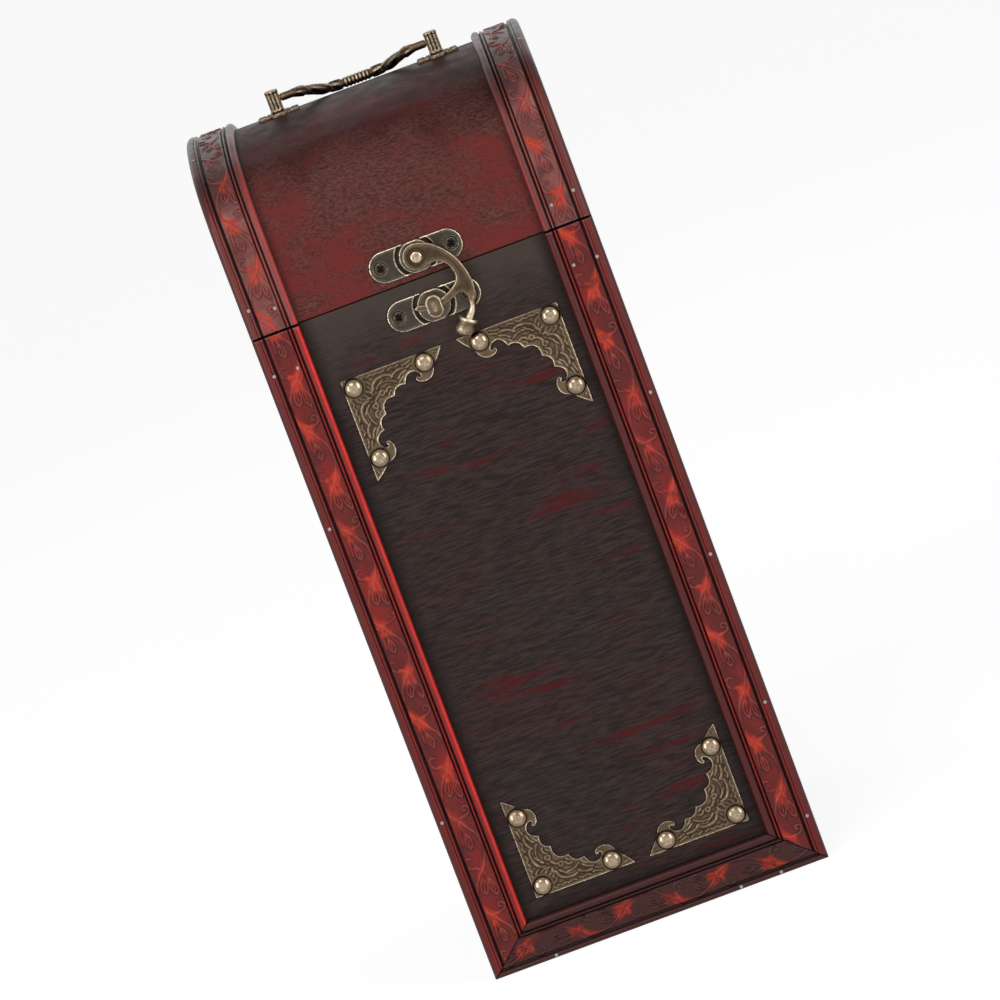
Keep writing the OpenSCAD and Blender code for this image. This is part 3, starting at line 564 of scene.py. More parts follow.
def aged_brass(name, colours, rough=0.36, dulling=0.55):
    """Antiqued brass: brown patina, near-black hollows and painted shade, and pale metal on rubbed edges and painted
    highlights.
    """
    patina, hollow, bright = (rgb(c) for c in colours)
    material, tree, shader = new_material(name)
    shader.inputs["Metallic"].default_value = 1.0
    specks = grouped(tree, "specks", Scale=2200.0)
    cloudy = grouped(tree, "stain", Stretch=(260, 260, 260), Cover=0.5, Softness=0.3)["Mask"]
    colour = mixed(tree, maths(tree, "MULTIPLY", cloudy, dulling), patina, hollow)
    colour = mixed(tree, layer(tree, "hollow"), colour, hollow)
    rubbed = grouped(tree, "wear", Place=layer(tree, "edge"), Amount=1.5, Break_up=1100.0)["Mask"]
    colour = mixed(tree, rubbed, colour, bright)
    tree.links.new(colour, shader.inputs["Base Color"])
    worn = maths(tree, "MULTIPLY", rubbed, -0.06)
    tree.links.new(maths(tree, "ADD", spread(tree, specks["Height"], 0.4, 1.1, rough - 0.08, rough + 0.14), worn),
                   shader.inputs["Roughness"])
    bumped(tree, shader, specks["Height"], 0.3, 0.08)
    return material


def seen_directly(tree):
    """Rays from the camera, and those mirrored in metal or passed through glass."""
    path = tree.nodes.new("ShaderNodeLightPath").outputs
    mirrored = maths(tree, "MAXIMUM", path["Is Glossy Ray"], path["Is Transmission Ray"])
    return maths(tree, "MAXIMUM", path["Is Camera Ray"], mirrored)


def floor_paper(name, colour):
    """White paper, with the object's shadow kept."""
    material, tree, shader = new_material(name)
    shader.inputs["Base Color"].default_value = rgb(colour)
    shader.inputs["Roughness"].default_value = 0.9
    glow = wire(tree, "ShaderNodeEmission", {"Strength": 1.4})
    paper = wire(tree, "ShaderNodeMixShader", {0: maths(tree, "MULTIPLY", seen_directly(tree), 0.6),
                 1: shader.outputs[0], 2: glow.outputs[0]})
    tree.links.new(paper.outputs[0], tree.nodes["Material Output"].inputs["Surface"])
    return material


# --- Settings ------------------------------------------------------------------------

def colour_property(name, description, default):
    return FloatVectorProperty(name=name, description=description, subtype="COLOR_GAMMA", size=3,
                               min=0.0, max=1.0, default=default)


def size_property(name, description, default):
    return FloatProperty(name=name, description=description, unit="LENGTH", default=default, precision=5)


class WoodSettings(bpy.types.PropertyGroup):
    panel: colour_property("Panel", "Stain on the body's boards", (0.222, 0.183, 0.171))
    panel_fibre: colour_property("Panel fibres", "Dark fibres of the body's boards", (0.118, 0.094, 0.088))
    panel_streak: colour_property("Panel streaks", "Crimson streaks on the body's boards", (0.295, 0.075, 0.083))
    lid: colour_property("Lid", "Stain on the lid's bent sheet and its ends", (0.405, 0.245, 0.23))
    lid_fibre: colour_property("Lid fibres", "Dark fibres of the lid", (0.26, 0.16, 0.15))
    lid_streak: colour_property("Lid streaks", "Redder streaks on the lid", (0.42, 0.18, 0.17))
    bevel: size_property("Board edges", "Round on the edges of the boards", 0.0005)


class TrimSettings(bpy.types.PropertyGroup):
    relief: size_property("Relief", "Height of the vine above the band", 0.0004)
    grid: size_property("Grid", "Spacing of the mesh along a trim", 0.0003)
    band: colour_property("Band", "Lacquer on the band", (0.505, 0.14, 0.13))
    # Lid band: the lacquer, greyed and lightened as a painted sheen
    lid_band_and_sheen: colour_property("Lid band", "Lacquer on the bands of the lid", (0.59, 0.34, 0.32))
    # The dark clouds colour is also the painted shade on the right trims' inner beads
    groove: colour_property("Dark clouds", "Darker lacquer in clouds and along the grooves", (0.25, 0.125, 0.12))
    # The bead red is rubbed lacquer and also the painted highlight along the crests
    bead: colour_property("Beads", "Red of the rubbed beads", (0.93, 0.22, 0.18))
    vine: colour_property("Vine", "Red of the raised lines", (0.66, 0.27, 0.23))
    paint: colour_property("Paint", "Orange paint at the vine's knots", (0.76, 0.215, 0.12))
    foot_band: colour_property("Foot band", "Lacquer on the band of the bottom trim", (0.25, 0.135, 0.125))
    foot_bead: colour_property("Foot beads", "Beads of the bottom trim", (0.28, 0.155, 0.145))


class BrassSettings(bpy.types.PropertyGroup):
    patina: colour_property("Patina", "Brown of the antiqued brass", (0.43, 0.36, 0.285))
    # The hollows colour also lays painted shade on the studs, hook, catch, plates and feet
    hollow: colour_property("Hollows", "Dark left in the hollows of the brass", (0.12, 0.095, 0.075))
    # The rubbed colour also lays painted highlights on the studs, hook and catch
    rubbed: colour_property("Rubbed edges", "Pale metal where the brass is rubbed", (0.79, 0.72, 0.62))
    plate: colour_property("Latch plates", "Greyer brass of the latch's plates", (0.39, 0.355, 0.32))
    stud: colour_property("Studs", "Polished brass of the studs and the rivet", (0.575, 0.50, 0.415))
    screw: colour_property("Screws", "Dull brass of the latch's screws", (0.20, 0.18, 0.155))
    steel: colour_property("Brads", "Bright steel of the brads and bolts", (0.60, 0.585, 0.56))


class StageSettings(bpy.types.PropertyGroup):
    distance: size_property("Distance", "From the camera to the middle of the box", 2.104)
    azimuth: FloatProperty(name="Azimuth", description="How far the camera stands to the right",
                           unit="ROTATION", default=radians(1.37))
    elevation: FloatProperty(name="Elevation", description="How far the camera stands above level",
                             unit="ROTATION", default=radians(10.3))
    lean: FloatProperty(name="Lean", description="How far the box leans left in the picture",
                        unit="ROTATION", default=radians(20.64))
    focal: FloatProperty(name="Focal length", description="Focal length in millimetres for a 36 mm sensor",
                         default=197.3)
    side_power: FloatProperty(name="Side lamps", description="Power of each tall side lamp, in watts", default=9.8)
    back_power: FloatProperty(name="Back lamp", description="Power of the low lamp behind the box, in watts", default=1.0)
    upper_power: FloatProperty(name="Upper lamp", description="Power of the lamp above the front, in watts", default=6.0)
    world: FloatProperty(name="World", description="Strength of the light from all around", default=0.45)


# --- Trims ---------------------------------------------------------------------------

VINE_PERIOD = 39.35
VINE_LINES = [
    [(0, -1.8), (2.6, -3.9), (7.9, -4.1), (12.7, -3.0), (16.6, -0.6), (18.3, 1.1), (21.4, 2.9), (26.2, 4.1),
     (32, 3.3), (35.5, 0.9), (39.35, -1.8)],
    [(0.2, -1), (0.6, 1.6), (1.5, 3.5), (3.0, 4.0), (4.2, 3.1), (3.9, 1.8), (2.9, 1.6), (2.6, 2.4)],
    [(18.6, 0.6), (19.95, -0.6), (20.4, -3.0), (22.4, -4.1), (24.3, -3.4), (24.0, -1.8)],
    [(-5.8, -0.9), (-2.6, -1.5), (0, -1.8)],
    [(-9, -2.6), (-6, -2.6), (-2, -2.0)],
    [(15.6, 0.1), (17, 0.6), (18.3, 1.1)],
    [(15.1, 2.1), (16.8, 1.9), (18.3, 1.1)],
]
VINE_LEAVES = [((-11.5, -0.2), (-5.8, -0.9), 1.1), ((8.9, -0.8), (15.6, 0.1), 1.25), ((7.5, 3.3), (15.1, 2.1), 1.15)]
VINE_KNOTS = [(0.2, -1.9), (18.5, 1.0)]
LINE_HALF = 0.27


def leaf_lines(tip, base, half):
    """Two curved edges and a midrib from a leaf's tip to its base."""
    tip, base = np.array(tip, float), np.array(base, float)
    side = np.array([tip[1] - base[1], base[0] - tip[0]]) / np.linalg.norm(tip - base)
    t = np.linspace(0, 1, 9)[:, None]
    spine = tip + (base - tip) * t
    bulge = half * np.sin(pi * t ** 0.8)
    return [spine + side * bulge, spine - side * bulge, spine[2:]]


class Vine:
    """One period of the embossed vine as four masks over its length and the band's width."""

    def __init__(self):
        self.step = 0.1
        self.s = np.arange(0, VINE_PERIOD, self.step)
        self.c = np.arange(-4.8, 4.81, self.step)
        spots = np.stack(np.meshgrid(self.s, self.c, indexing="ij"), -1).reshape(-1, 2)
        lines = [smooth_line(line) for line in VINE_LINES]
        for leaf in VINE_LEAVES:
            lines += leaf_lines(*leaf)
        near = np.full(len(spots), 9.0)
        stem = np.full(len(spots), 9.0)
        for number, line in enumerate(lines):
            for turn in (-VINE_PERIOD, 0, VINE_PERIOD):
                moved = line + (turn, 0)
                close = np.flatnonzero((spots[:, 0] > moved[:, 0].min() - 3) & (spots[:, 0] < moved[:, 0].max() + 3))
                if len(close):
                    away = distance_to_line(spots[close], moved)
                    near[close] = np.minimum(near[close], away)
                    if number == 0:
                        stem[close] = np.minimum(stem[close], away)
        knot = np.full(len(spots), 99.0)
        for at in VINE_KNOTS:
            for turn in (-VINE_PERIOD, 0, VINE_PERIOD):
                knot = np.minimum(knot, np.hypot((spots[:, 0] - at[0] - turn) * 0.72, spots[:, 1] - at[1]))
        swell = 0.45 * np.exp(-(knot / 2.2) ** 2)
        away = np.maximum(near - np.where(stem == near, swell, 0), 0)
        ribbon = 0.2 + 1.8 * np.exp(-(knot / 3.2) ** 2)
        daub = ease(ribbon - stem, -1.1, 0.6) * ease(6.5 - knot, 0, 4.0)
        daub = np.maximum(daub, ease(1.1 - near, 0, 0.5) * ease(3.8 - knot, 0, 1.4))
        shape = (len(self.s), len(self.c))
        # The second mask, the troughs beside each line, is darkened on the trims as painted shade
        self.masks = [mask.reshape(shape) for mask in (
            np.exp(-(away / LINE_HALF) ** 2),
            np.exp(-((away - 0.62) / 0.26) ** 2),
            np.maximum(daub, 0.1 * ease(0.7 - stem, 0, 0.4)),
            ease(knot, 4.0, 8.0) * ease(stem, 0.9, 2.2))]

    def at(self, s, c):
        """Line, trough, paint and loop masks at places along and across the band."""
        u = np.mod(s, VINE_PERIOD) / self.step
        v = np.clip((c - self.c[0]) / self.step, 0, len(self.c) - 1.001)
        i, j = np.floor(u).astype(int), np.floor(v).astype(int)
        fu, fv = u - i, v - j
        i0, i1 = i % len(self.s), (i + 1) % len(self.s)
        on_band = ease(BAND_HALF - np.abs(c), 0.0, 0.35)
        return [on_band * ((table[i0, j] * (1 - fu) + table[i1, j] * fu) * (1 - fv)
                           + (table[i0, j + 1] * (1 - fu) + table[i1, j + 1] * fu) * fv) for table in self.masks]


def trim_profile(foot):
    """Columns across a trim: distance from its outer edge, height, groove mask of painted shade and crest mask of
    rubbed lacquer and painted highlight.
    """
    round_r, reed = (1.3, 1.3) if foot else (2.3, 2.95)
    # The third column darkens the outer wall and its rounding as painted shade
    rows = [(0, 0, 0.6, 0), (0, TRIM_T - round_r, 0.55, 0)]
    for turn in np.linspace(0, pi / 2, 9)[1:]:
        rows.append((round_r * (1 - cos(turn)), TRIM_T - round_r + round_r * sin(turn),
                     0.45 * ease(cos(turn), 0.55, 1.0), 0.08 * sin(turn) ** 2))
    if not foot:
        rows += [(2.75, 2.97, 0, 0.25), (2.95, 2.80, 0.4, 0.2), (3.1, 2.55, 1, 0), (3.25, 2.66, 0.4, 0.2)]
        rows += [(3.5, 2.82, 0, 0.2), (3.75, 2.84, 0, 0.2), (4.0, 2.7, 0.2, 0.1)]
    else:
        rows += [(1.7, 2.9, 0, 0.5), (1.95, 2.6, 0.4, 0.2)]
    shift = 0 if not foot else OUTER_BEAD_W - FOOT_BEAD_W
    inner = [(4.2, 2.2, 0.8, 0), (4.45, GROOVE_FLOOR + 0.1, 1, 0), (4.7, GROOVE_FLOOR, 1, 0), (4.95, 1.95, 0.9, 0)]
    inner.append((5.15, 2.25, 0.5, 0))
    inner += [(u, BAND_TOP, 0, 0) for u in np.linspace(5.35, 13.65, 38)]
    inner += [(13.85, 2.3, 0.5, 0), (14.0, 1.85, 1, 0), (14.2, GROOVE_FLOOR, 1, 0), (14.4, 2.1, 0.7, 0),
              (14.6, 2.55, 0.1, 0.2), (14.85, 2.66, 0, 0.2), (15.1, 2.5, 0.2, 0.2), (15.3, 2.0, 0.8, 0),
              (15.5, GROOVE_FLOOR, 1, 0), (15.7, 1.9, 1, 0), (15.85, 2.25, 0.5, 0.2)]
    # The inner bead's crest peaks in a narrow painted highlight over rubbed red lacquer
    for t in np.linspace(-0.85, 1, 15):
        top = TRIM_T - (0.75 if t < 0 else 1.7) * abs(t) ** 2.2
        inner.append((17.35 + 1.62 * t, top, 0.8 * ease(t, 0.62, 1.0), 0.22 * (1 - abs(t)) + 0.9 * np.exp(-((t - 0.36) / 0.3) ** 2)))
    inner.append((TRIM_W, 0, 0.8, 0))
    rows += [(u - shift, *rest) for u, *rest in inner]
    return np.array(rows)


def trim_grid(vine, trim, first, last, phase, across=1, foot=False, mitre=(True, False), period=VINE_PERIOD, red=1.0):
    """Rows along a trim: place along it, distance across it and height, with its masks."""
    profile = trim_profile(foot)
    u, height, dip, crest = profile.T
    shift = OUTER_BEAD_W - FOOT_BEAD_W if foot else 0
    start, end = first(u), last(u)
    length = (end - start).max()
    fine = np.array([0, 0.08, 0.2, 0.36, 0.55, 0.8]) / length
    t = np.concatenate([fine, np.arange(1.05, length - 1.0, trim.grid / MM) / length, 1 - fine[::-1]])[:, None]
    s = start + (end - start) * t
    from_start, to_end = s - start, end - s
    height = np.repeat(height[None], len(t), 0)
    c = (u + shift - BAND_MIDDLE) * across
    run = (s - phase) * (VINE_PERIOD / period) + 1.3 * np.sin(s / 21 + phase)
    masks = vine.at(run, c[None] + 0.4 * np.sin(s / 14.3 + 2 * phase) + 0.25 * np.sin(s / 5.1))
    line, trough, paint, shade = (mask * ((u + shift > 5.3) & (u + shift < 13.7)) for mask in masks)
    # red lightens the inner bead's crest and lessens its dark: rubbed red lacquer, with a painted highlight on the left
    # trims and painted shade on the right ones
    shade = np.maximum(0.8 * shade, np.where(u + shift < 4.6, 0.87, np.where(u + shift > 15.4, 0.9 - 0.6 * red, 0)))
    height = height + (line - 0.35 * trough) * trim.relief / MM
    edge = np.zeros_like(height)
    dip = np.repeat(dip[None], len(t), 0)
    crest = np.repeat((crest * np.where(u + shift > 15.4, red, 1.0))[None], len(t), 0)
    for away, mitred in ((from_start, mitre[0]), (to_end, mitre[1])):
        r = 0.45 if mitred else END_ROUND
        fall = np.where(away < r, r - np.sqrt(np.maximum(r * r - (r - away) ** 2, 0)), 0)
        height = np.where(height > fall + 0.2, height - fall, np.minimum(height, 0.2))
        if mitred:
            dip = np.maximum(dip, ease(0.5 - away, 0, 0.35))
        else:
            # Pale rubbed lacquer on the rounded ends at the seam, also standing as a painted highlight
            raised = (height > 2.0 - fall)
            edge = np.maximum(edge, 0.7 * ease(away, 0.25, 0.45) * ease(-away, -1.0, -0.6) * raised)
            # Painted shade on the last fraction of a millimetre at the seam
            dip = np.maximum(dip, ease(0.4 - away, 0, 0.2))
    fade = ease(np.minimum(from_start if mitre[0] else 9, to_end if mitre[1] else 9), 0.8, 3.0)
    return s, np.repeat(u[None], len(t), 0), height, {
        "line": line * fade, "trough": trough * fade, "paint": paint * fade, "shade": shade, "dip": dip,
        "crest": crest * (1 - dip), "edge": edge}


def trim_piece(name, s, u, height, layers, mapping):
    """Closed strip from the rows of a trim."""
    rings = mapping(s, u, height)
    points, faces = swept(rings)
    return make_piece(name, points, faces, layers, sharp=50.0)


def arch_at(s):
    """Points and outward normals along the lid's arch, in the YZ plane."""
    b1, b2 = LID_RISE, LID_RISE + SHOULDER_LEN
    b3, b4 = b2 + CROWN_LEN, b2 + CROWN_LEN + SHOULDER_LEN
    zones = [s < b1, s < b2, s < b3, s < b4]
    turn = np.select(zones, [pi + 0 * s, pi - (s - b1) / SHOULDER_R, ARCH_JOIN - (s - b2) / CROWN_R,
                             pi - ARCH_JOIN - (s - b3) / SHOULDER_R], 0 * s)
    radius = np.where((s >= b2) & (s < b3), CROWN_R, SHOULDER_R)
    centre_y = np.where(s < b2, -SHOULDER_Y, np.where(s < b3, 0, SHOULDER_Y))
    spring = LID_Z + LID_RISE
    centre_z = np.select(zones, [LID_Z + s, spring, spring - CROWN_DROP, spring], LID_Z + ARCH_LEN - s)
    normal = np.stack([np.cos(turn), np.sin(turn)], -1)
    return np.stack([centre_y, centre_z], -1) + radius[..., None] * normal, normal


def over_arch(x, s, height):
    """Points at a height over the panels, along the arch and at x."""
    at, normal = arch_at(s)
    at = at + normal * (height - TRIM_T)[..., None]
    return np.concatenate([x[..., None], at], -1)


# --- Operators -----------------------------------------------------------------------

def settings():
    return bpy.context.scene.wine_box


class WINEBOX_OT_materials(bpy.types.Operator):
    """Makes the shared effects and every finish"""
    bl_idname = "wine_box.materials"
    bl_label = "Finishes"

    def execute(self, context):
        wood, trim, brass = settings().wood, settings().trim, settings().brass
        GROUPS.update(grain=grain_group(), stain=stain_group(), wear=wear_and_highlight_group(), specks=specks_group())
        dark = (wood.panel, wood.panel_fibre, wood.panel_streak)
        red = (wood.lid, wood.lid_fibre, wood.lid_streak)
        # The body's front takes painted shade along the trims
        stained_wood("dark_board_across", dark, "x", 0.46, 0.23, 0.12, (under_seam, painted_shade_along_trims))
        stained_wood("dark_board_side", dark, "y", 0.46, 0.24, 0.12)
        # The lid's boards take painted shade over the crown
        stained_wood("red_board_across", red, "x", 0.40, 0.46, 0.85, (crown_painted_shade,), 0.035)
        stained_wood("red_board_side", red, "y", 0.42, 0.4, 0.45, (crown_painted_shade,), 0.035)
        lacquered_trim("red_moulding", (trim.band, trim.groove, trim.bead, trim.vine, trim.paint), 0.88)
        # The lid's trims take painted shade over the crown
        lacquered_trim("lid_moulding", (trim.lid_band_and_sheen, trim.groove, trim.bead, trim.vine, trim.paint), 0.85, 0.15, 0.8)
        lacquered_trim("dark_moulding", (trim.foot_band, trim.groove, trim.foot_bead, trim.groove, trim.paint), 0.7)
        aged_brass("antique_brass", (brass.patina, brass.hollow, brass.rubbed))
        # Its dark colour also lays the painted shade on the plates' lobes
        aged_brass("grey_brass", (brass.plate, (0.10, 0.088, 0.075), brass.rubbed))
        # Its dark colour is also the painted shade on the studs' lower flanks
        aged_brass("polished_brass", (brass.stud, (0.20, 0.155, 0.11), brass.rubbed), 0.17, 0.55)
        aged_brass("dark_brass", (brass.screw, brass.hollow, brass.rubbed))
        aged_brass("bright_steel", (brass.steel, (0.36, 0.35, 0.34), brass.steel), 0.5, 0.2)
        return {"FINISHED"}


class WINEBOX_OT_boards(bpy.types.Operator):
    """Finishes the boards of the body, which the frame already holds"""
    bl_idname = "wine_box.boards"
    bl_label = "Body boards"

    def execute(self, context):
        bevel = settings().wood.bevel / MM
        for node in ("front_panel", "back_panel", "bottom_panel"):
            dress_node(node, bpy.data.materials["dark_board_across"], bevel)
        for node in ("left_side", "right_side"):
            dress_node(node, bpy.data.materials["dark_board_side"], bevel)
        return {"FINISHED"}


class WINEBOX_OT_lid(bpy.types.Operator):
    """Builds the lid's bent sheet and its two arched ends"""
    bl_idname = "wine_box.lid"
    bl_label = "Lid sheet and ends"

    def execute(self, context):
        wood = settings().wood
        s = np.linspace(0, ARCH_LEN, 240)
        across = np.linspace(SHEET_LOW[0], SHEET_HIGH[0], 31)
        x = np.concatenate([across, across[::-1]])
        rings = over_arch(np.repeat(x[None], len(s), 0), np.repeat(s[:, None], len(x), 1),
                          np.concatenate([0 * across, 0 * across - SHEET_T])[None] + 0 * s[:, None])
        points, faces = swept(rings)
        sheet = make_piece("lid_bent_sheet", points, faces)
        self.round(sheet, wood.bevel)
        dress(sheet, bpy.data.materials["red_board_across"], "lid", "red_stained_wood", "lid_sheet")
        for side, node in ((-1, "lid_left_end"), (1, "lid_right_end")):
            low, high = node_box(node)
            rings = []
            for at in (low[0], high[0]):
                rings.append(over_arch(np.full(len(s), at), s, np.zeros(len(s))))
            points, faces = swept(np.array(rings))
            end = make_piece(node + "_board", points, faces, sharp=30.0)
            self.round(end, wood.bevel)
            dress(end, bpy.data.materials["red_board_side"], "lid", "red_stained_wood", node)
        return {"FINISHED"}

    @staticmethod
    def round(piece, width):
        rounded = piece.modifiers.new("Worn edges", "BEVEL")
        rounded.width = width
        rounded.segments = 2
        rounded.angle_limit = radians(40)


class WINEBOX_OT_body_trims(bpy.types.Operator):
    """Builds the three moulded trims round the front of the body, with their vine"""
    bl_idname = "wine_box.body_trims"
    bl_label = "Body trims"

    def execute(self, context):
        trim, vine = settings().trim, Vine()
        slope = FOOT_W / TRIM_W
        for side, phase, period in ((-1, 24.6, VINE_PERIOD), (1, 12.3, 40.5)):
            # Left trim: inner bead with rubbed red and painted highlight; right trim: inner bead in painted shade
            rows = trim_grid(vine, trim, lambda u: u * slope, lambda u: BODY_TOP + 0 * u, phase, -side,
                             period=period, red=(1.0, 0.04)[side > 0])
            piece = trim_piece(("left", "right")[side > 0] + "_body_trim", *rows, lambda s, u, h: np.stack(
                [side * (HALF_W - u), FRONT - h, s], -1))
            dress(piece, bpy.data.materials["red_moulding"], "box_body", "red_moulding",
                  ("front_trim_left", "front_trim_right")[side > 0])
        rows = trim_grid(vine, trim, lambda u: -HALF_W + u / slope, lambda u: HALF_W - u / slope, -31.5, 1,
                         foot=True, mitre=(True, True), red=0.1)
        piece = trim_piece("foot_trim", *rows, lambda s, u, h: np.stack([s, FRONT - h, u], -1))
        dress(piece, bpy.data.materials["dark_moulding"], "box_body", "red_moulding", "front_trim_bottom")
        return {"FINISHED"}


class WINEBOX_OT_lid_trims(bpy.types.Operator):
    """Builds the two moulded trims that run over the lid's arch"""
    bl_idname = "wine_box.lid_trims"
    bl_label = "Lid trims"

    def execute(self, context):
        trim, vine = settings().trim, Vine()
        for side, phase in ((-1, 4.0), (1, -8.4)):
            # Left lid trim: inner bead with rubbed red and painted highlight; right one in painted shade
            rows = trim_grid(vine, trim, lambda u: 0 * u, lambda u: ARCH_LEN + 0 * u, phase, -side,
                             mitre=(False, False), red=(0.6, 0.25)[side > 0])
            rows[3]["paint"] *= 1 - 0.75 * ease(rows[0], 70, 84)
            piece = trim_piece(("left", "right")[side > 0] + "_lid_trim", *rows,
                               lambda s, u, h: over_arch(side * (HALF_W - u), s, h))
            dress(piece, bpy.data.materials["lid_moulding"], "lid", "red_moulding",
                  ("lid_trim_left", "lid_trim_right")[side > 0])
        return {"FINISHED"}


# Corner bracket with its corner at the origin and its legs along x and y
LEG_EDGE = [(0.25, 0.0), (39.6, 0.0), (37.7, 2.6), (35.6, 5.0), (34.3, 6.9), (33.5, 8.6), (32.2, 9.9), (30.1, 10.5),
            (28.2, 10.2), (27.0, 9.4), (26.7, 8.5), (27.3, 8.0), (28.2, 8.5), (28.9, 8.1), (28.6, 6.9), (27.6, 5.9)]
SCALLOPS = [[(27.6, 5.9), (26.0, 5.4), (24.4, 5.8), (23.2, 7.0), (22.3, 9.0)],
            [(22.3, 9.0), (21.0, 8.7), (19.3, 8.9), (17.9, 9.9), (17.0, 11.8)],
            [(17.0, 11.8), (15.2, 11.7), (13.4, 12.2)]]
SCROLLS = [
    ([(10.2, 7.2), (10.8, 5.2), (12.4, 3.9), (14.8, 3.3), (17.4, 3.6), (19.0, 4.7)], 0.34),
    ([(11.8, 7.0), (13.0, 5.9), (15.0, 5.4), (17.6, 5.9), (19.6, 7.2)], 0.26),
    ([(12.6, 6.2), (15.0, 4.5), (17.4, 4.8)], 0.2),
    ([(18.2, 5.0), (19.4, 3.9), (21.2, 3.2), (23.6, 3.1)], 0.3),
    ([(20.2, 8.6), (21.1, 7.2), (22.7, 6.1), (25.3, 5.2)], 0.36),
    ([(20.6, 6.3), (21.9, 5.1), (24.2, 4.3)], 0.3),
    ([(23.6, 2.1), (25.2, 1.9), (27.0, 1.3)], 0.24),
    ([(24.8, 3.4), (26.2, 2.8), (27.4, 2.7)], 0.22),
    ([(12.0, 9.7), (12.3, 8.8), (13.1, 8.3), (13.9, 8.8), (13.8, 9.7), (13.0, 10.1), (12.3, 9.6)], 0.26),
    ([(14.7, 9.5), (15.3, 8.5), (16.6, 8.1), (17.6, 8.7)], 0.28),
    ([(15.4, 10.7), (16.2, 9.7), (17.4, 9.6)], 0.22),
    ([(7.4, 1.6), (8.6, 1.1), (9.8, 1.8), (11.0, 1.2), (12.2, 1.8), (13.6, 1.3), (15.0, 1.9), (16.6, 1.4)], 0.2),
    ([(18.0, 1.9), (19.4, 1.4), (20.8, 1.9), (22.2, 1.3)], 0.2),
    ([(7.6, 6.6), (8.9, 7.4), (9.6, 8.8)], 0.26),
    ([(8.6, 5.0), (9.4, 6.4), (9.6, 8.0)], 0.22),
    ([(9.7, 12.7), (9.9, 11.2), (11.0, 10.0)], 0.3),
    ([(8.2, 3.0), (9.4, 3.6), (10.0, 5.0)], 0.22),
    ([(33.6, 1.4), (35.6, 1.3), (37.2, 1.5)], 0.2),
]


def bracket_outline():
    """The leg's edge and scallops, then the same again mirrored for the other leg."""
    scalloped = [tuple(p) for run in SCALLOPS for p in smooth_line(run, 5)[1:]]
    half = LEG_EDGE[:1] + [LEG_EDGE[1]] + [tuple(p) for p in smooth_line(LEG_EDGE[1:], 3)[1:]] + scalloped
    other = [(y, x) for x, y in half[::-1]]
    outline = half + [p for p in other if hypot(p[0] - half[-1][0], p[1] - half[-1][1]) > 0.3]
    return np.array(outline)


def bracket_height(flat, distance):
    """Raised rim, raised scrolls and the dark troughs beside them."""
    scroll, trough = np.zeros(len(flat)), np.zeros(len(flat))
    for line, half in SCROLLS:
        for points in (np.array(line), np.array(line)[:, ::-1]):
            away = distance_to_line(flat, smooth_line(points, 4))
            scroll = np.maximum(scroll, np.exp(-(away / half) ** 2))
            trough = np.maximum(trough, np.exp(-((away - half - 0.42) / 0.36) ** 2))
    rim = np.exp(-((distance - 0.08) / 0.2) ** 2)
    seat = np.zeros(len(flat))
    for at in STUD_PLACES:
        seat = np.maximum(seat, ease(-np.hypot(*(flat - at).T), -STUD_R - 1.0, -STUD_R - 0.2))
    inner = (1 - seat) * ease(distance, 0.5, 1.0)
    scroll, trough = scroll * inner, trough * inner * (1 - scroll)
    top = BRACKET_T - 0.2 + 0.2 * np.maximum(scroll, rim) - 0.22 * trough
    return top, {"edge": np.maximum(0.7 * rim, 0.32 * scroll), "hollow": 0.8 * trough}


class WINEBOX_OT_brackets(bpy.types.Operator):
    """Builds the four stamped corner brackets and their twelve domed studs"""
    bl_idname = "wine_box.brackets"
    bl_label = "Corner brackets and studs"

    def execute(self, context):
        points, faces, layers = stamped(bracket_outline(), 0.34, bracket_height)
        turns = np.linspace(pi / 2, 0.02, 16)
        dome = [(STUD_R * sin(t), 0.15 + 2.45 * cos(t)) for t in turns]
        stud_points, stud_faces = lathed([(0.8, -6.0), (0.8, -0.01), (STUD_R - 0.05, 0.0), *dome])
        # Dark lower flanks on each dome are painted shade; the pale top is polished brass and a painted highlight
        flank_shade_and_polished_top = {"hollow": np.repeat([0.9, 0.9, 0.9, *(0.85 * ease(turns, 0.85, 1.45))], 48),
                   "edge": np.repeat([0, 0, 0, *(0.4 * ease(-turns, -1.0, -0.3))], 48)}
        studs = []
        for node in ("bracket_top_left", "bracket_top_right", "bracket_bottom_left", "bracket_bottom_right"):
            low, high = node_box(node)
            side = 1 if "right" in node else -1
            end = 1 if "top" in node else -1
            corner_x = high[0] if side > 0 else low[0]
            corner_z = high[2] if end > 0 else low[2]
            turned = points * (-side, -end, 1)
            piece = make_piece(node + "_stamping", on_front(turned, corner_x, corner_z), faces, layers, 60.0)
            dress(piece, bpy.data.materials["antique_brass"], "box_body", "antique_brass", node)
            for x, y in STUD_PLACES:
                studs.append((on_front(stud_points, corner_x - side * x, corner_z - end * y, BRACKET_T), stud_faces, flank_shade_and_polished_top))
        made = joined(studs)
        piece = make_piece("domed_studs", *made)
        dress(piece, bpy.data.materials["polished_brass"], "box_body", "bright_brass", "bracket_studs")
        return {"FINISHED"}


PLATE_LEN = 36.4
PLATE_H = 12.0
SCREW_AT = 13.9
PLATE_T = 1.0
DISC_T = 0.8


def plate_outline():
    """Plate with round ends, centred on the origin."""
    reach, r = (PLATE_LEN - PLATE_H) / 2, PLATE_H / 2
    return np.array(arc((reach, 0), r, -90, 90, 24) + arc((-reach, 0), r, 90, 270, 24))


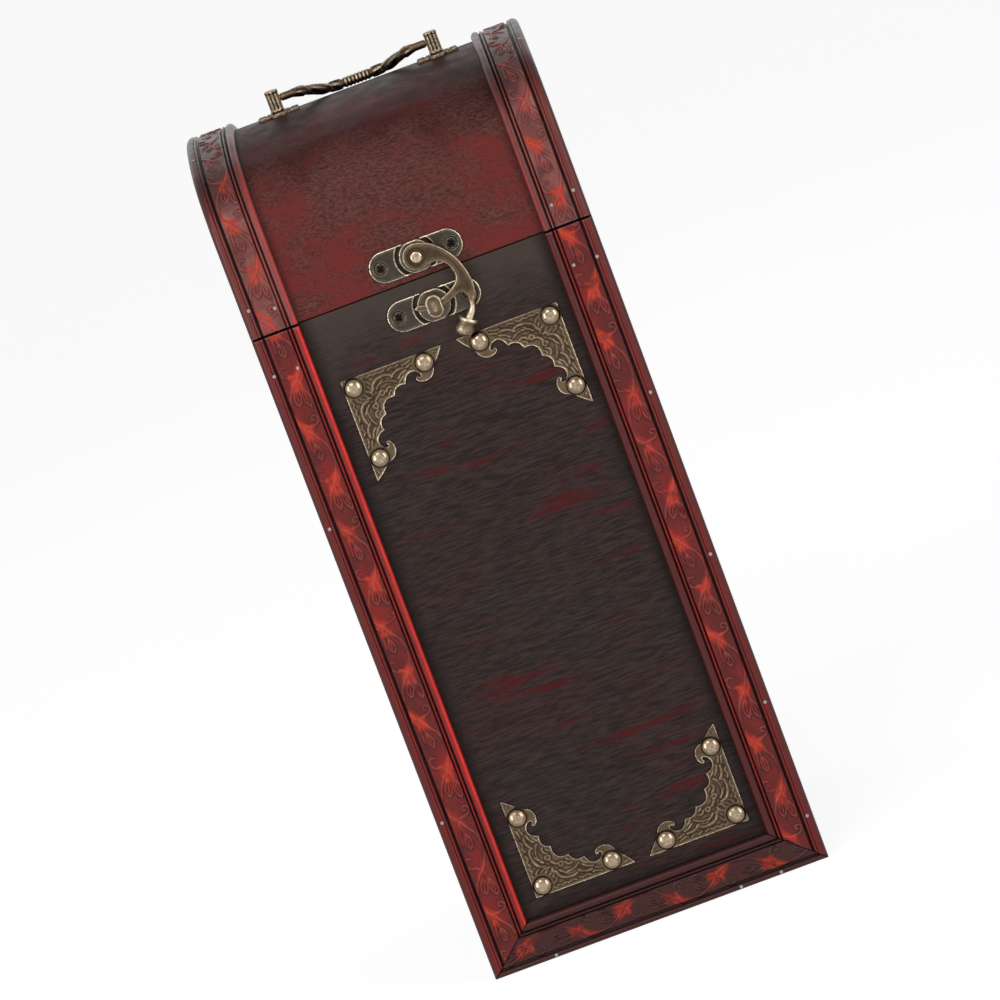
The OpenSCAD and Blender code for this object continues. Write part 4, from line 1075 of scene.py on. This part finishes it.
def plate_height(flat, distance):
    """Raised end lobes with a rim, a groove round the middle, and a raised disc."""
    away = np.hypot(*flat.T)
    from_screw = np.hypot(np.abs(flat[:, 0]) - SCREW_AT, flat[:, 1])
    lobe = ease(away, 7.5, 8.1)
    disc = ease(-away, -6.7, -6.1)
    top = 0.52 + 0.42 * lobe + (PLATE_T + DISC_T - 0.62) * disc
    top += 0.06 * ease(-np.abs(away - 5.2), -0.5, -0.1)
    rim = np.exp(-((distance - 0.2) / 0.2) ** 2)
    lip = 0.8 * np.exp(-((away - 8.15) / 0.2) ** 2) * ease(distance, 0.1, 0.6)
    disc_rim = np.exp(-((away - 6.1) / 0.2) ** 2)
    ring = np.exp(-((from_screw - 2.75) / 0.22) ** 2)
    sunk = ease(-from_screw, -2.5, -2.2)
    top = top + 0.03 - 0.34 * ease(distance, 0.2, 4.5) * lobe
    top = np.where(sunk > 0, top * (1 - sunk) + 0.25 * sunk, top) - 0.35 * ease(-distance, -0.22, 0.0)
    hollow = np.maximum((1 - lobe) * (1 - disc), 0.85 * ease(-np.abs(from_screw - 2.3), -0.35, -0.05))
    # Darkening each lobe's face inward from the plate's edge is painted shade
    hollow = np.maximum(hollow, 0.45 * lobe * ease(distance, 0.7, 1.6))
    return top, {"edge": np.clip(rim + lip + 0.6 * disc_rim + 0.3 * ring, 0, 1), "hollow": np.clip(hollow, 0, 0.9)}


def screw_height(flat, distance):
    """Low domed screw head with a cross recess, turned a little off square."""
    turned = flat @ np.array([[cos(0.5), -sin(0.5)], [sin(0.5), cos(0.5)]])
    across = np.minimum(np.abs(turned[:, 0]), np.abs(turned[:, 1]))
    cross = ease(-across, -0.34, -0.2) * ease(-np.hypot(*flat.T), -1.35, -1.15)
    top = 0.55 + 0.3 * ease(distance, 0, 1.2) - 0.5 * cross
    return top, {"edge": 0.35 * ease(-distance, -0.4, -0.1), "hollow": 0.9 * cross}


class WINEBOX_OT_latch_plates(bpy.types.Operator):
    """Builds the latch's two stamped plates and finishes their screws"""
    bl_idname = "wine_box.latch_plates"
    bl_label = "Latch plates"

    def execute(self, context):
        points, faces, layers = stamped(plate_outline(), 0.3, plate_height)
        head = stamped(np.array(arc((0, 0), 2.05, 0, 360, 40)[:-1]), 0.16, screw_height, -4.0)
        for node, z, body in (("latch_plate_upper", PIVOT_Z, "lid"), ("latch_plate_lower", CATCH_Z, "box_body")):
            piece = make_piece(node + "_stamping", on_front(points, LATCH_X, z), faces, layers, 60.0)
            dress(piece, bpy.data.materials["grey_brass"], body, "antique_brass", node)
            heads = [(on_front(head[0], LATCH_X + side * SCREW_AT, z), *head[1:]) for side in (-1, 1)]
            screws = "latch_screws_" + node[12:]
            piece = make_piece(screws + "_heads", *joined(heads), 40.0)
            dress(piece, bpy.data.materials["dark_brass"], body, "antique_brass", screws)
        return {"FINISHED"}


HOOK_EDGE_OUT = [(2.2, 4.8), (6.1, 3.2), (9.1, 0.8), (11.5, -1.8), (13.7, -5.1), (15.1, -8.6), (16.1, -12.2),
                 (16.5, -15.6), (16.3, -18.6), (15.7, -19.8)]
HOOK_EDGE_IN = [(5.2, -16.9), (7.8, -15.7), (10.0, -14.0), (11.1, -12.0), (11.0, -9.7), (10.2, -7.4), (8.9, -5.5),
                (7.3, -4.3), (5.4, -4.0), (3.6, -4.1)]


def hook_outline():
    """Hub, arm and pointed tine of the hook, from its pivot."""
    hub = arc((0, 0), 5.1, 70, 308, 40)
    root = [(12.9, -19.9), (12.2, -18.9), (10.6, -17.9)]
    low = [(r * sin(radians(t)), -r * cos(radians(t))) for r, t in ((20.5, 22), (20.6, 12), (20.6, 4), (20.6, -4), (20.5, -11))]
    tip = [(-5.5, -19.9), (-7.6, -18.3), (-5.9, -17.2)]
    high = [(-3.4, -17.9), (0.0, -18.2), (2.8, -17.8)]
    line = [tuple(p) for p in smooth_line(HOOK_EDGE_OUT, 4)]
    line += [tuple(p) for p in smooth_line(root, 3)] + [tuple(p) for p in smooth_line(low, 3)]
    line += tip + [tuple(p) for p in smooth_line(high + HOOK_EDGE_IN, 4)]
    return np.array(line + hub[::-1])


def hook_height(flat, distance):
    """Flat arm with its edges rounded over and made pale as rubbed brass and painted highlight, with painted shade over
    the middle of the arm and round the hub's seat.
    """
    thick = HOOK_FRONT - HOOK_BACK
    r = 0.6
    fall = np.where(distance < r, r - np.sqrt(np.maximum(r * r - (r - distance) ** 2, 0)), 0)
    away = np.hypot(*flat.T)
    seat = ease(-away, -3.6, -3.2)
    top = thick - fall * 0.8 - 0.3 * (1 - ease(distance, 0, 2.4)) - 0.1 * seat
    edge = ease(-distance, -0.55, -0.1)
    return top, {"edge": edge, "hollow": 0.5 * ease(distance, 0.7, 2.0) + 0.3 * ease(-np.abs(away - 3.3), -0.4, 0)}


def tube(path, widths, heights, turns, sides=20):
    """Rings of oval section along a path in space, each turned about it."""
    path = np.array(path, float)
    tangent = np.gradient(path, axis=0)
    tangent /= np.linalg.norm(tangent, axis=1)[:, None]
    side = np.cross(tangent, (0, 0, 1.0))
    side /= np.linalg.norm(side, axis=1)[:, None]
    up = np.cross(side, tangent)
    a = np.linspace(0, tau, sides, endpoint=False)
    rings = []
    for p, n, b, w, h, turn in zip(path, side, up, widths, heights, turns):
        flat = np.stack([w * np.cos(a), h * np.sin(a)], -1)
        c, s = cos(turn), sin(turn)
        flat = flat @ np.array([[c, s], [-s, c]])
        rings.append(p + flat[:, :1] * n + flat[:, 1:] * b)
    return swept(np.array(rings))


class WINEBOX_OT_hook(bpy.types.Operator):
    """Builds the swing hook: its arm and tine, its twisted neck and its finger knob"""
    bl_idname = "wine_box.hook"
    bl_label = "Swing hook"

    def execute(self, context):
        arm = stamped(hook_outline(), 0.28, hook_height)
        brass = bpy.data.materials["antique_brass"]
        piece = make_piece("hook_arm", on_front(arm[0], LATCH_X, PIVOT_Z, HOOK_BACK), arm[1], arm[2], 60.0)
        dress(piece, brass, "hook", "antique_brass", "swing_hook")
        line = smooth_line([(14.1, -18.2, 2.9), (14.5, -20.4, 3.0), (13.9, -23.0, 3.3), (12.5, -25.6, 3.7),
                            (10.9, -27.6, 3.9), (9.9, -28.8, 3.9)], 6)
        t = np.linspace(0, 1, len(line))
        widths = np.interp(t, [0, 0.3, 0.65, 0.9, 1], [2.1, 2.0, 1.65, 1.7, 2.0])
        heights = np.interp(t, [0, 0.3, 0.65, 0.9, 1], [0.8, 0.95, 1.4, 1.6, 2.0])
        points, faces = tube(line, widths, heights, 1.9 * ease(t, 0.1, 0.7))
        # One side of the neck made paler as a painted highlight
        edge = np.repeat(0.75 * ease(t, 0.15, 0.7), 20) * np.tile(0.5 + 0.5 * np.cos(np.linspace(0, tau, 20, False)), len(t))
        parts = [(points, faces, {"edge": edge})]
        ball = [(1.4, -3.4), (2.5, -3.5), (3.3, -3.3), (3.55, -2.85), (3.45, -2.4), (3.15, -1.9), (3.1, -1.1), (3.3, -0.2),
                (3.4, 0.7), (3.2, 1.6), (2.6, 2.5), (1.6, 3.2), (0.8, 3.5), (0.1, 3.58)]
        knob, knob_faces = lathed(ball, 36)
        axis = Vector((-0.62, -0.78, 0.0))
        knob = knob @ np.array(axis.to_track_quat("Z", "Y").to_matrix()).T * (1.12, 1.0, 1.0) + (8.0, -30.7, 3.8)
        rim = np.repeat([0.3, 0.8, 1.0, 1.0, 0.5, 0.15, 0.1, 0.25, 0.35, 0.4, 0.4, 0.4, 0.4, 0.4], 36)
        parts.append((knob, knob_faces, {"edge": rim}))
        points, faces, layers = joined(parts)
        piece = make_piece("hook_neck_and_knob", on_front(points, LATCH_X, PIVOT_Z), faces, layers)
        dress(piece, brass, "hook", "antique_brass")
        return {"FINISHED"}


class WINEBOX_OT_catch(bpy.types.Operator):
    """Builds the catch's oblong eye and the hook's rivet"""
    bl_idname = "wine_box.catch"
    bl_label = "Catch and rivet"

    def execute(self, context):
        low, high = node_box("latch_catch")
        width, tall = high[0] - low[0], high[2] - low[2]
        front = FRONT - low[1]
        reach, r = (tall - width) / 2, width / 2
        outline = np.array(arc((0, reach), r, 0, 180, 24) + arc((0, -reach), r, 180, 360, 24))
        back = HOOK_FRONT + 0.15

        def domed(flat, distance):
            fall = 0.6 * (1 - ease(distance, 0.0, 0.9)) ** 1.5
            # The dark band on the dome's slope is painted shade; the pale rim and crown are rubbed brass and painted
            # highlight
            return front - 0.35 + 0.35 * ease(distance, 0.7, 2.6) - fall, {
                "edge": 0.75 * ease(-np.abs(distance - 0.35), -0.5, -0.1) + 0.35 * ease(distance, 1.5, 2.8),
                "hollow": 0.3 * ease(-np.abs(distance - 1.4), -0.5, 0)}

        parts = [stamped(outline, 0.28, domed, back)]
        foot = np.array(arc((0, reach), r - 0.3, 20, 160, 16))
        for side in (1, -1):
            post = foot * (side, side)
            parts.append(stamped(post, 0.4, lambda flat, distance: (np.full(len(flat), back + 0.01), {}), PLATE_T + 0.55))
        points, faces, layers = joined(parts)
        piece = make_piece("catch_eye", on_front(points, LATCH_X, CATCH_Z), faces, layers, 60.0)
        dress(piece, bpy.data.materials["antique_brass"], "box_body", "antique_brass", "latch_catch")
        head = [(1.3, 0.1), (1.3, 4.0), (2.05, 4.05), (2.25, 4.2), (2.22, 4.45), (2.0, 4.7), (1.5, 4.86), (0.9, 4.93), (0.1, 4.95)]
        points, faces = lathed(head, 40)
        edge = np.repeat(0.5 * (np.array(head)[:, 1] > 4.5), 40)
        piece = make_piece("rivet_head", on_front(points, LATCH_X, PIVOT_Z), faces, {"edge": edge})
        dress(piece, bpy.data.materials["polished_brass"], "lid", "bright_brass", "hook_rivet")
        return {"FINISHED"}


POST_R = 2.65
POST_H = 8.5
FLUTES = 10


class WINEBOX_OT_handle_posts(bpy.types.Operator):
    """Builds the handle's fluted posts and the feet that they stand on"""
    bl_idname = "wine_box.handle_posts"
    bl_label = "Handle posts and feet"

    def execute(self, context):
        brass = bpy.data.materials["antique_brass"]
        profile = [(2.3, 0.0), (2.5, 0.12), (POST_R, 0.35), (POST_R, 0.9)]
        profile += [(POST_R - 0.08, h) for h in np.linspace(1.1, POST_H - 1.1, 14)]
        profile += [(POST_R, POST_H - 0.9), (POST_R, POST_H - 0.4), (2.5, POST_H - 0.12), (2.25, POST_H), (0.1, POST_H)]

        def flute(height, turn):
            deep = ease(height, 0.7, 1.1) * ease(-height, -POST_H + 0.7, -POST_H + 1.1)
            return 0.42 * deep * np.clip(np.cos(FLUTES * turn), 0, 1) ** 0.8

        points, faces = lathed(profile, 120, flute)
        turn = np.tile(np.linspace(0, tau, 120, False), len(profile))
        groove = np.clip(np.cos(FLUTES * turn), 0, 1) * ((points[:, 2] > 1) & (points[:, 2] < POST_H - 1))
        layers = {"edge": np.clip(0.4 - groove, 0, 1), "hollow": 0.8 * groove}
        ear, r = 2.5, 4.5
        for x, label in ((-1, "left"), (1, "right")):
            at = HANDLE_X + x * POST_PITCH / 2
            moved = points + (at, 0, POST_BASE_Z)
            piece = make_piece(f"handle_post_{label}_fluted", moved, faces, layers)
            dress(piece, brass, "lid", "antique_brass", f"handle_post_{label}")
            outline = np.array([(8.1 - 0.6, -ear), (8.1, -ear + 0.6), (8.1, ear - 0.6), (8.1 - 0.6, ear)]
                               + arc((0, 0), r, 34, 146, 20)
                               + [(-7.5, ear), (-8.1, ear - 0.6), (-8.1, -ear + 0.6), (-7.5, -ear)]
                               + arc((0, 0), r, 214, 326, 20))

            def foot_top(flat, distance):
                away = np.hypot(*flat.T)
                step_down = ease(np.abs(flat[:, 0]), 4.3, 4.7) * ease(-np.abs(flat[:, 0]), -5.3, -4.9)
                fall = 0.45 * (1 - ease(distance, 0, 0.5))
                # The darker ring round the post's foot is painted shade
                return 1.5 - fall - 0.35 * step_down, {
                    "edge": 0.35 * ease(-distance, -0.6, -0.1), "hollow": np.maximum(0.5 + 0.4 * step_down, 0.6 * ease(-away, -3.6, -2.8))}

            plate = stamped(outline, 0.35, foot_top)
            moved = plate[0] + (at, 0, POST_BASE_Z - 1.5)
            piece = make_piece(f"handle_foot_{label}_plate", moved, plate[1], plate[2], 60.0)
            dress(piece, brass, "lid", "antique_brass", f"handle_foot_{label}")
        dress_node("handle_bolts", bpy.data.materials["bright_steel"], 0.15)
        return {"FINISHED"}


BEND = pi / 3
BAIL_REACH = 19.0
ARM_LEN = 13.86
GRIP_HALF = 6.5


def bail_line():
    """Half of the bail's centre line, from the middle of its grip to the end of its pin, with its length."""
    parts = [np.stack([np.linspace(0, GRIP_HALF, 60, False), np.full(60, BAIL_REACH)], -1)]
    turn = np.linspace(pi / 2, pi / 2 - BEND, 36, endpoint=False)
    parts.append(np.stack([GRIP_HALF + 8 * np.cos(turn), BAIL_REACH - 8 + 8 * np.sin(turn)], -1))
    start = np.array([GRIP_HALF + 8 * sin(BEND), BAIL_REACH - 8 + 8 * cos(BEND)])
    way = np.array([cos(BEND), -sin(BEND)])
    parts.append(start + way * np.linspace(0, ARM_LEN, 60, endpoint=False)[:, None])
    end = start + way * ARM_LEN
    centre = end + 6 * np.array([sin(BEND), cos(BEND)])
    turn = np.linspace(pi + BEND / 2, 3 * pi / 2, 28, endpoint=False)
    parts.append(np.stack([centre[0] + 6 * np.cos(turn), centre[1] + 6 * np.sin(turn)], -1))
    parts.append(np.stack([np.linspace(centre[0], POST_PITCH / 2 - POST_R + 3.0, 46), np.zeros(46)], -1))
    line = np.vstack(parts)
    return line, np.concatenate([[0], np.cumsum(np.linalg.norm(np.diff(line, axis=0), axis=1))])


def bail_radius(along):
    """Radius of the bar: ribbed grip, swelling, long leaf, notch, short swelling, plain stub and pin."""
    places = [0, 5.2, 5.5, 5.9, 6.4, 8.2, 10.2, 11.6, 12.4, 15.5, 21.0, 26.2, 27.3, 27.9, 28.6, 29.6, 31.8, 34.0,
              34.6, 38.3, 38.5, 38.6, 60]
    radii = [1.95, 1.95, 1.55, 1.6, 2.1, 2.25, 2.15, 1.75, 1.95, 2.25, 2.15, 1.85, 1.5, 1.55, 2.0, 2.25, 2.05, 1.6,
             1.52, 1.52, 1.4, 1.1, 1.1]
    radius = np.interp(along, places, radii)
    ribs = 0.36 * (0.5 + 0.5 * np.cos(tau * along / 1.48)) * ease(-along, -5.4, -5.1)
    return radius + ribs - 0.2 * ease(-along, -5.4, -5.1), ribs


class WINEBOX_OT_bail(bpy.types.Operator):
    """Builds the folding bail with its ribbed grip and leaf-shaped swellings"""
    bl_idname = "wine_box.bail"
    bl_label = "Bail"

    def execute(self, context):
        half, along = bail_line()
        line = np.vstack([half[::-1] * (-1, 1), half[1:]])
        along = np.concatenate([along[::-1], along[1:]])
        radius, ribs = bail_radius(along)
        tangent = np.gradient(line, axis=0)
        tangent /= np.linalg.norm(tangent, axis=1)[:, None]
        normal = np.stack([-tangent[:, 1], tangent[:, 0]], -1)
        sides = 36
        a = np.linspace(0, tau, sides, endpoint=False)
        leafy = np.maximum(ease(along, 6.4, 8.0) * ease(-along, -26.4, -24.0), ease(along, 28.4, 29.4) * ease(-along, -34.0, -32.0))
        vein = 0.5 + 0.5 * np.cos(5 * a[None] + 0.42 * along[:, None])
        r = radius[:, None] - 0.2 * leafy[:, None] * (1 - vein) ** 2
        rings = np.concatenate([line[:, None] + (r * np.cos(a))[..., None] * normal[:, None],
                                (r * np.sin(a))[..., None]], -1)
        points, faces = swept(rings)
        c, s = cos(radians(BAIL_REST)), sin(radians(BAIL_REST))
        points = np.column_stack([points[:, 0] + HANDLE_X, c * points[:, 1] + s * points[:, 2],
                                  c * points[:, 2] - s * points[:, 1] + BAIL_Z])
        crest = 0.1 + 0.35 * leafy[:, None] * vein ** 2 + 1.1 * ribs[:, None]
        hollow = leafy[:, None] * (1 - vein) ** 2 + (ease(-along, -5.4, -5.1) * (0.36 - ribs) * 2.4)[:, None]
        shape = np.ones((len(along), sides))
        piece = make_piece("bail_bar", points, faces, {"edge": np.clip(crest * shape, 0, 0.9),
                           "hollow": np.clip(hollow * shape, 0, 0.85)}, 60.0)
        dress(piece, bpy.data.materials["antique_brass"], "bail", "antique_brass", "bail")
        return {"FINISHED"}


class WINEBOX_OT_fixings(bpy.types.Operator):
    """Finishes the hinges, their screws and the brads, which the frame already holds"""
    bl_idname = "wine_box.fixings"
    bl_label = "Hinges and brads"

    def execute(self, context):
        for side in ("left", "right"):
            for part, bevel in (("body_leaf", 0.2), ("lid_leaf", 0.2), ("pin", 0.1)):
                dress_node(f"hinge_{side}_{part}", bpy.data.materials["antique_brass"], bevel)
        for node in ("hinge_screws_body", "hinge_screws_lid"):
            dress_node(node, bpy.data.materials["polished_brass"], 0.1)
        for node in ("body_brads", "lid_brads"):
            dress_node(node, bpy.data.materials["bright_steel"], 0.08)
        return {"FINISHED"}


class WINEBOX_OT_stage(bpy.types.Operator):
    """Lays the paper floor and sets the lamps, the world and the camera"""
    bl_idname = "wine_box.stage"
    bl_label = "Stage"

    def execute(self, context):
        stage = settings().stage
        self.floor()
        self.lamp("side_lamp_left", (-1.1, -1.1, 0.45), (0.5, 1.0), stage.side_power)
        self.lamp("side_lamp_right", (1.1, -1.1, 0.45), (0.5, 1.0), stage.side_power)
        self.lamp("back_lamp", (0.0, 1.4, 0.9), (1.6, 0.4), stage.back_power)
        self.lamp("upper_lamp", (-0.3, -1.3, 1.25), (0.7, 0.5), stage.upper_power)
        self.sky(stage.world)
        self.camera(context, stage)
        context.scene.view_settings.view_transform = "Standard"
        return {"FINISHED"}

    @staticmethod
    def floor():
        size, count = 18000.0, 24
        turn = np.linspace(0, tau, count, endpoint=False)
        rings = np.array([np.stack([size * np.cos(turn), size * np.sin(turn), np.full(count, z)], -1) for z in (-4.0, -0.05)])
        piece = make_piece("paper_floor", *swept(rings))
        piece.data.materials.append(floor_paper("white_paper", (0.93, 0.93, 0.93)))

    @staticmethod
    def lamp(name, at, size, power):
        data = bpy.data.lights.new(name, "AREA")
        data.shape, data.size, data.size_y, data.energy = "RECTANGLE", *size, power
        made = bpy.data.objects.new(name, data)
        made.location = at
        made.rotation_euler = (Vector((0, 0, 0.17)) - Vector(at)).to_track_quat("-Z", "Y").to_euler()
        bpy.context.scene.collection.objects.link(made)

    @staticmethod
    def sky(strength):
        world = bpy.data.worlds.new("studio")
        world.use_nodes = True
        tree = world.node_tree
        room = tree.nodes["Background"]
        way = wire(tree, "ShaderNodeSeparateXYZ", {0: tree.nodes.new("ShaderNodeTexCoord").outputs["Generated"]}).outputs
        sides = spread(tree, maths(tree, "ABSOLUTE", way["X"]), 0.45, 0.85, 0.0, 0.55)
        behind = spread(tree, way["Y"], 0.1, 0.7, 0.0, 0.25)
        level = maths(tree, "ADD", maths(tree, "ADD", sides, behind), 0.32)
        tree.links.new(maths(tree, "MULTIPLY", level, strength), room.inputs["Strength"])
        room.inputs["Color"].default_value = (1, 1, 1, 1)
        backdrop = wire(tree, "ShaderNodeBackground", {"Color": (1, 1, 1, 1), "Strength": 1.0})
        blend = wire(tree, "ShaderNodeMixShader", {0: seen_directly(tree), 1: room.outputs[0], 2: backdrop.outputs[0]})
        tree.links.new(blend.outputs[0], tree.nodes["World Output"].inputs["Surface"])
        bpy.context.scene.world = world

    @staticmethod
    def camera(context, stage):
        target = Vector((-3.2, 0.0, 160.1)) * MM
        away = Vector((sin(stage.azimuth) * cos(stage.elevation), -cos(stage.azimuth) * cos(stage.elevation),
                       sin(stage.elevation)))
        data = bpy.data.cameras.new("camera")
        data.sensor_width = 36.0
        data.lens = stage.focal
        data.clip_end = 100.0
        made = bpy.data.objects.new("camera", data)
        made.rotation_mode = "QUATERNION"
        made.location = target + away * stage.distance
        lean = (-away).to_track_quat("-Z", "Y") @ Quaternion((0, 0, 1), -stage.lean)
        made.rotation_quaternion = lean
        context.scene.collection.objects.link(made)
        context.scene.camera = made


class WineBoxSettings(bpy.types.PropertyGroup):
    wood: PointerProperty(type=WoodSettings)
    trim: PointerProperty(type=TrimSettings)
    brass: PointerProperty(type=BrassSettings)
    stage: PointerProperty(type=StageSettings)


STEPS = [WINEBOX_OT_materials, WINEBOX_OT_boards, WINEBOX_OT_lid, WINEBOX_OT_body_trims, WINEBOX_OT_lid_trims,
         WINEBOX_OT_brackets, WINEBOX_OT_latch_plates, WINEBOX_OT_hook, WINEBOX_OT_catch, WINEBOX_OT_handle_posts,
         WINEBOX_OT_bail, WINEBOX_OT_fixings, WINEBOX_OT_stage]


class WINEBOX_PT_panel(bpy.types.Panel):
    """Sizes, colours and building steps of the wine box"""
    bl_idname = "WINEBOX_PT_panel"
    bl_label = "Wine box"
    bl_space_type = "VIEW_3D"
    bl_region_type = "UI"
    bl_category = "Wine Box"

    def draw(self, context):
        for step in STEPS:
            self.layout.operator(step.bl_idname)
        for group in (settings().wood, settings().trim, settings().brass, settings().stage):
            box = self.layout.box()
            for name in group.bl_rna.properties.keys():
                if name not in ("rna_type", "name"):
                    box.prop(group, name)


CLASSES = [WoodSettings, TrimSettings, BrassSettings, StageSettings, WineBoxSettings, *STEPS, WINEBOX_PT_panel]


def register():
    for made in CLASSES:
        bpy.utils.register_class(made)
    bpy.types.Scene.wine_box = PointerProperty(type=WineBoxSettings)


def unregister():
    del bpy.types.Scene.wine_box
    for made in reversed(CLASSES):
        bpy.utils.unregister_class(made)


def main():
    register()
    for step in STEPS:
        group, name = step.bl_idname.split(".")
        getattr(getattr(bpy.ops, group), name)()


if __name__ == "__main__":
    main()
